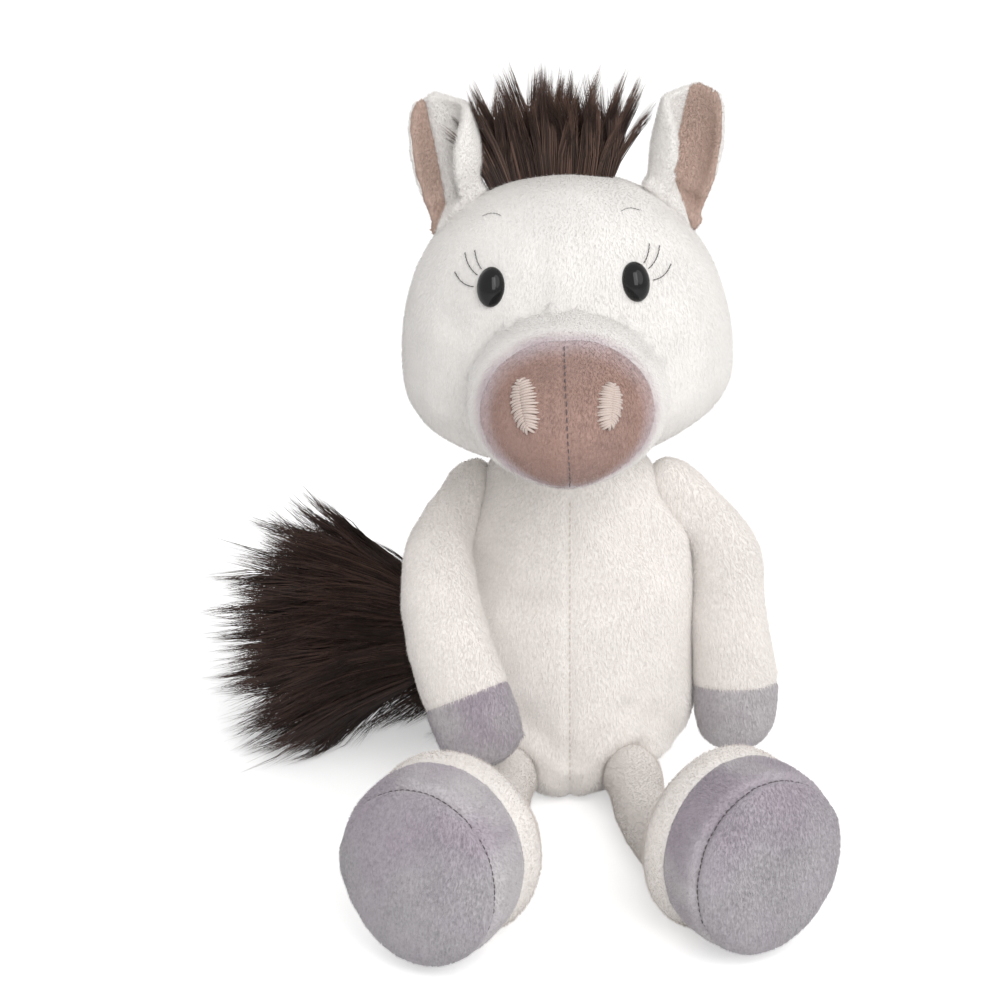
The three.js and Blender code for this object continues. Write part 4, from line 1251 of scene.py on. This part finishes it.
def make_tail():
    """A dark core shaped like the tail, with two coats of long hair"""
    core = node_copy("tail_core", ("tail",))
    places = places_of(core.data)
    offsets = places - np.array(TAIL_WAIST)
    span = np.linalg.norm(offsets, axis=1)
    pressed = np.where(span > TAIL_CORE, TAIL_CORE + 0.16 * (span - TAIL_CORE), span)
    scale = np.where(places[:, 0] < TAIL_WAIST.x, pressed / np.maximum(span, 1e-9), 1)
    move_points(core.data, np.array(TAIL_WAIST) + offsets * scale[:, None])
    with_modifier(core, "REMESH", mode="VOXEL", voxel_size=2.6 * MM)
    with_modifier(core, "SMOOTH", factor=0.5, iterations=10)
    rest_on_floor(core.data, CORE_LIFT)
    smooth_faces(core.data)
    apex = Vector(frame_joint("tail_swing")["pos_m"]) + Vector((24 * MM, 0, 2 * MM))

    def grow(place, normal):
        way = (place - apex).normalized() + 0.25 * normal
        beyond = (place - TAIL_WAIST).length if place.x < TAIL_WAIST.x else 0
        return way.normalized() * min(sizes().tail, TAIL_REACH - beyond)

    dark = hair_material("tail_hair", colours().hair)
    settings = {"clump": 0.85, "cell": 6 * MM, "bend": 0.34, "droop": 0.12, "steps": 5, "width": 1.25}
    for coat in (1, 2):
        grow_hair(f"tail_hair_{coat}", "tail", core.data, grow, 6200, (), dark, seed=70 + coat, **settings)
    finish_piece(core, "tail", "dark_fur", dark, ("tail",))


# Limbs

def toward(start, end):
    way = (Vector(end) - Vector(start)).normalized()
    return lambda place: way


def hoof_plush():
    return pile_material("hoof_plush", colours().hoof, patchy_mask, colours().spray, 2.4, 1.0)


def make_arm(side):
    """A cream sleeve and a grey hoof, sewn together by a flat seam"""
    form = form_of("arm_" + side).copy()
    size = sizes()
    sleeve, hoof, stuffing = FORM_NODES["arm_" + side]
    seam = FlatSeam(sleeve, hoof)
    pull_in(form, seam.ring(form), 0.5 * size.seam_depth, 0.8 * size.seam_width)
    body = "arm_" + side
    nap = toward(frame_joint(body + "_swing")["pos_m"], seam.centre)
    settings = {"cuts": [(seam.centre, seam.normal)], "hidden": ("torso",), "seed": 31}
    sewn_patch(form, body, "cream_pile", body_plush(), (sleeve, stuffing), nap, **settings)
    settings = {"cuts": [(seam.centre, -seam.normal)], "cover": 1.15, "seed": 32}
    sewn_patch(form, body, "hoof_pile", hoof_plush(), (hoof,), nap, **settings)


def swell_behind(mesh, seam, behind, width, push):
    """Swells the cloth in a ring this far behind a flat seam"""
    places = places_of(mesh)
    share = np.exp(-(((-seam.depth(places) - behind) / width) ** 2))
    move_points(mesh, places + normals_of(mesh) * push * share[:, None])


def make_leg(side):
    """A cream leg that flares to a cuff, a grey band and a domed sole"""
    form = form_of("leg_" + side).copy()
    size = sizes()
    skin, band, sole, stuffing = FORM_NODES["leg_" + side]
    band_seam = FlatSeam(skin, band)
    sole_seam = FlatSeam(band, sole)
    sole_ring = sole_seam.ring(form)
    swell_behind(form, band_seam, 8 * MM, 5 * MM, 2.4 * MM)
    rest_on_floor(form, CLOTH_LIFT)
    band_ring = band_seam.ring(form)
    pull_in(form, band_ring, 0.4 * size.seam_depth, 0.8 * size.seam_width)
    pull_in(form, sole_ring, 1.2 * size.seam_depth, 0.9 * size.seam_width)
    body = "leg_" + side
    nap = toward(frame_joint(body + "_swing")["pos_m"], band_seam.centre)

    def brushed_back(place):
        return -nap(place) + Vector((0, 0, -0.8))

    cuts = [(band_seam.centre, band_seam.normal)]
    settings = {"cuts": cuts, "seams": band_ring, "hidden": ("torso",), "seed": 41}
    sewn_patch(form, body, "cream_pile", body_plush(), (skin, stuffing), nap, **settings)
    settings = {"seams": np.vstack([band_ring, sole_ring]), "cover": 1.15, "length": 0.8}
    cuts = [(band_seam.centre, -band_seam.normal), (sole_seam.centre, sole_seam.normal)]
    sewn_patch(form, body, "hoof_pile", hoof_plush(), (band,), brushed_back, cuts=cuts, seed=42, **settings)
    # Painted shade: the soles take a darker copy of the hooves' grey
    shaded_sole = pile_material("sole_plush", colours().sole, patchy_mask, colours().spray, 2.6, 1.0)
    cuts = [(sole_seam.centre, -sole_seam.normal)]
    sewn_patch(form, body, "hoof_pile", shaded_sole, (sole,), hanging_nap, cuts=cuts, seed=43, **settings)
    line = sole_seam.ring(form)
    lift = off_surface(surface_of(form), 0.2 * MM)
    stitches = running_stitches(line[line[:, 2] > 1.5 * MM], lift, 2.2 * MM)
    dark = thread_material("seam_thread", colours().seam)
    sew("sole_stitches_" + side, body, stitches, "hoof_pile", dark)


# Stage

CAMERA_TARGET = Vector((0, 8 * MM, 125 * MM))
CAMERA_DISTANCE = 850 * MM
CAMERA_ELEVATION = math.radians(17)
CAMERA_LENS = 81.7
CAMERA_SHIFT = (-0.070, -0.051)

# How strongly the white surroundings light the toy
FILL_LIGHT = 0.45


def make_camera():
    data = bpy.data.cameras.new("camera")
    data.lens = CAMERA_LENS
    data.sensor_width = 36
    data.shift_x, data.shift_y = CAMERA_SHIFT
    data.clip_start = 10 * MM
    camera = bpy.data.objects.new("camera", data)
    bpy.context.scene.collection.objects.link(camera)
    back = Vector((0, -math.cos(CAMERA_ELEVATION), math.sin(CAMERA_ELEVATION)))
    camera.location = CAMERA_TARGET + back * CAMERA_DISTANCE
    camera.rotation_euler = (-back).to_track_quat("-Z", "Y").to_euler()
    bpy.context.scene.camera = camera


def place_lamp(data, place):
    lamp = bpy.data.objects.new(data.name, data)
    bpy.context.scene.collection.objects.link(lamp)
    lamp.location = place
    lamp.rotation_euler = (CAMERA_TARGET - Vector(place)).to_track_quat("-Z", "Y").to_euler()


def make_sun(name, place, spread, strength):
    data = bpy.data.lights.new(name, "SUN")
    data.angle = math.radians(spread)
    data.energy = strength
    place_lamp(data, place)


def make_softbox(name, place, size, power):
    data = bpy.data.lights.new(name, "AREA")
    data.shape = "RECTANGLE"
    data.size, data.size_y = size
    data.energy = power
    place_lamp(data, place)


def background_ray(maker):
    """One where the camera, gloss or glass looks"""
    ray = maker.add("ShaderNodeLightPath").outputs
    seen = maker.math("MAXIMUM", ray["Is Camera Ray"], ray["Is Glossy Ray"])
    return maker.math("MAXIMUM", seen, ray["Is Transmission Ray"])


def make_world():
    world = bpy.data.worlds.new("studio")
    bpy.context.scene.world = world
    world.use_nodes = True
    maker = NodeMaker(world.node_tree)
    white = (1, 1, 1, 1)
    lit = maker.add("ShaderNodeBackground", {"Color": white, "Strength": FILL_LIGHT}).outputs[0]
    seen = maker.add("ShaderNodeBackground", {"Color": white, "Strength": 1.0}).outputs[0]
    both = maker.add("ShaderNodeMixShader", {0: background_ray(maker), 1: lit, 2: seen})
    maker.put(world.node_tree.nodes["World Output"], "Surface", both.outputs[0])


def make_floor():
    """A white floor that brightens a little where it is looked at, and keeps the shadow"""
    half = 4.0
    corners = [(-half, -half, 0), (half, -half, 0), (half, half, 0), (-half, half, 0)]
    mesh = bpy.data.meshes.new("floor")
    mesh.from_pydata(corners, [], [(0, 1, 2, 3)])
    material, maker, shader = principled("floor_white", 0.8)
    paper = maker.noise(maker.place(), 40.0).outputs[0]
    white = colours().floor
    maker.put(shader, "Base Color", maker.mix(paper, darker(white, 0.98), opaque(white)))
    maker.put(shader, "Emission Color", (1, 1, 1, 1))
    maker.put(shader, "Emission Strength", maker.product(background_ray(maker), FILL_LIGHT))
    material.cycles.emission_sampling = "NONE"
    mesh.materials.append(material)
    new_object("floor", mesh)


def make_stage():
    bpy.context.scene.view_settings.view_transform = "Standard"
    make_world()
    make_floor()
    make_sun("key", (0.75, -0.75, 0.9), spread=50, strength=0.85)
    make_sun("back", (-0.3, 1.0, 0.7), spread=60, strength=0.6)
    make_softbox("softbox", (0.2, -1.0, 0.82), size=(0.55, 1.0), power=5.5)


# Add-on

class MakeTorso(bpy.types.Operator):
    """Makes the torso's cloth and pile"""

    bl_idname = "plush_horse.make_torso"
    bl_label = "Torso"

    def execute(self, context):
        make_torso()
        return {"FINISHED"}


class MakeHead(bpy.types.Operator):
    """Makes the cloth and pile of head, muzzle and nose"""

    bl_idname = "plush_horse.make_head"
    bl_label = "Head and muzzle"

    def execute(self, context):
        make_head()
        return {"FINISHED"}


class MakeArms(bpy.types.Operator):
    """Makes both arms with their hooves"""

    bl_idname = "plush_horse.make_arms"
    bl_label = "Arms"

    def execute(self, context):
        for side in SIDES:
            make_arm(side)
        return {"FINISHED"}


class MakeLegs(bpy.types.Operator):
    """Makes both legs with their bands and soles"""

    bl_idname = "plush_horse.make_legs"
    bl_label = "Legs"

    def execute(self, context):
        for side in SIDES:
            make_leg(side)
        return {"FINISHED"}


class MakeFace(bpy.types.Operator):
    """Makes the eyes, lashes and brows"""

    bl_idname = "plush_horse.make_face"
    bl_label = "Eyes and lashes"

    def execute(self, context):
        make_face()
        return {"FINISHED"}


class MakeEars(bpy.types.Operator):
    """Makes both ears with their linings"""

    bl_idname = "plush_horse.make_ears"
    bl_label = "Ears"

    def execute(self, context):
        for side in SIDES:
            make_ear(side)
        return {"FINISHED"}


class MakeHair(bpy.types.Operator):
    """Makes the forelock and the mane"""

    bl_idname = "plush_horse.make_hair"
    bl_label = "Forelock and mane"

    def execute(self, context):
        make_forelock()
        make_mane()
        return {"FINISHED"}


class MakeTail(bpy.types.Operator):
    """Makes the tail"""

    bl_idname = "plush_horse.make_tail"
    bl_label = "Tail"

    def execute(self, context):
        make_tail()
        return {"FINISHED"}


class MakeStage(bpy.types.Operator):
    """Makes the floor, the lamps and the camera"""

    bl_idname = "plush_horse.make_stage"
    bl_label = "Stage"

    def execute(self, context):
        make_camera()
        make_stage()
        return {"FINISHED"}


OPERATORS = (
    MakeStage, MakeTorso, MakeHead, MakeFace, MakeEars, MakeHair, MakeArms, MakeLegs, MakeTail
)


class HorsePanel(bpy.types.Panel):
    """Lists what the add-on makes"""

    bl_idname = "VIEW3D_PT_plush_horse"
    bl_label = "Plush horse"
    bl_space_type = "VIEW_3D"
    bl_region_type = "UI"
    bl_category = "Plush horse"

    def draw(self, context):
        for operator in OPERATORS:
            self.layout.operator(operator.bl_idname)


CLASSES = (HorseSizes, HorseColours, *OPERATORS, HorsePanel)


def register():
    for one in CLASSES:
        bpy.utils.register_class(one)
    bpy.types.Scene.horse_sizes = bpy.props.PointerProperty(type=HorseSizes)
    bpy.types.Scene.horse_colours = bpy.props.PointerProperty(type=HorseColours)


def unregister():
    del bpy.types.Scene.horse_sizes
    del bpy.types.Scene.horse_colours
    for one in reversed(CLASSES):
        bpy.utils.unregister_class(one)


def main():
    register()
    bpy.ops.plush_horse.make_stage()
    bpy.ops.plush_horse.make_torso()
    bpy.ops.plush_horse.make_head()
    bpy.ops.plush_horse.make_face()
    bpy.ops.plush_horse.make_ears()
    bpy.ops.plush_horse.make_hair()
    bpy.ops.plush_horse.make_arms()
    bpy.ops.plush_horse.make_legs()
    bpy.ops.plush_horse.make_tail()


if __name__ == "__main__":
    main()
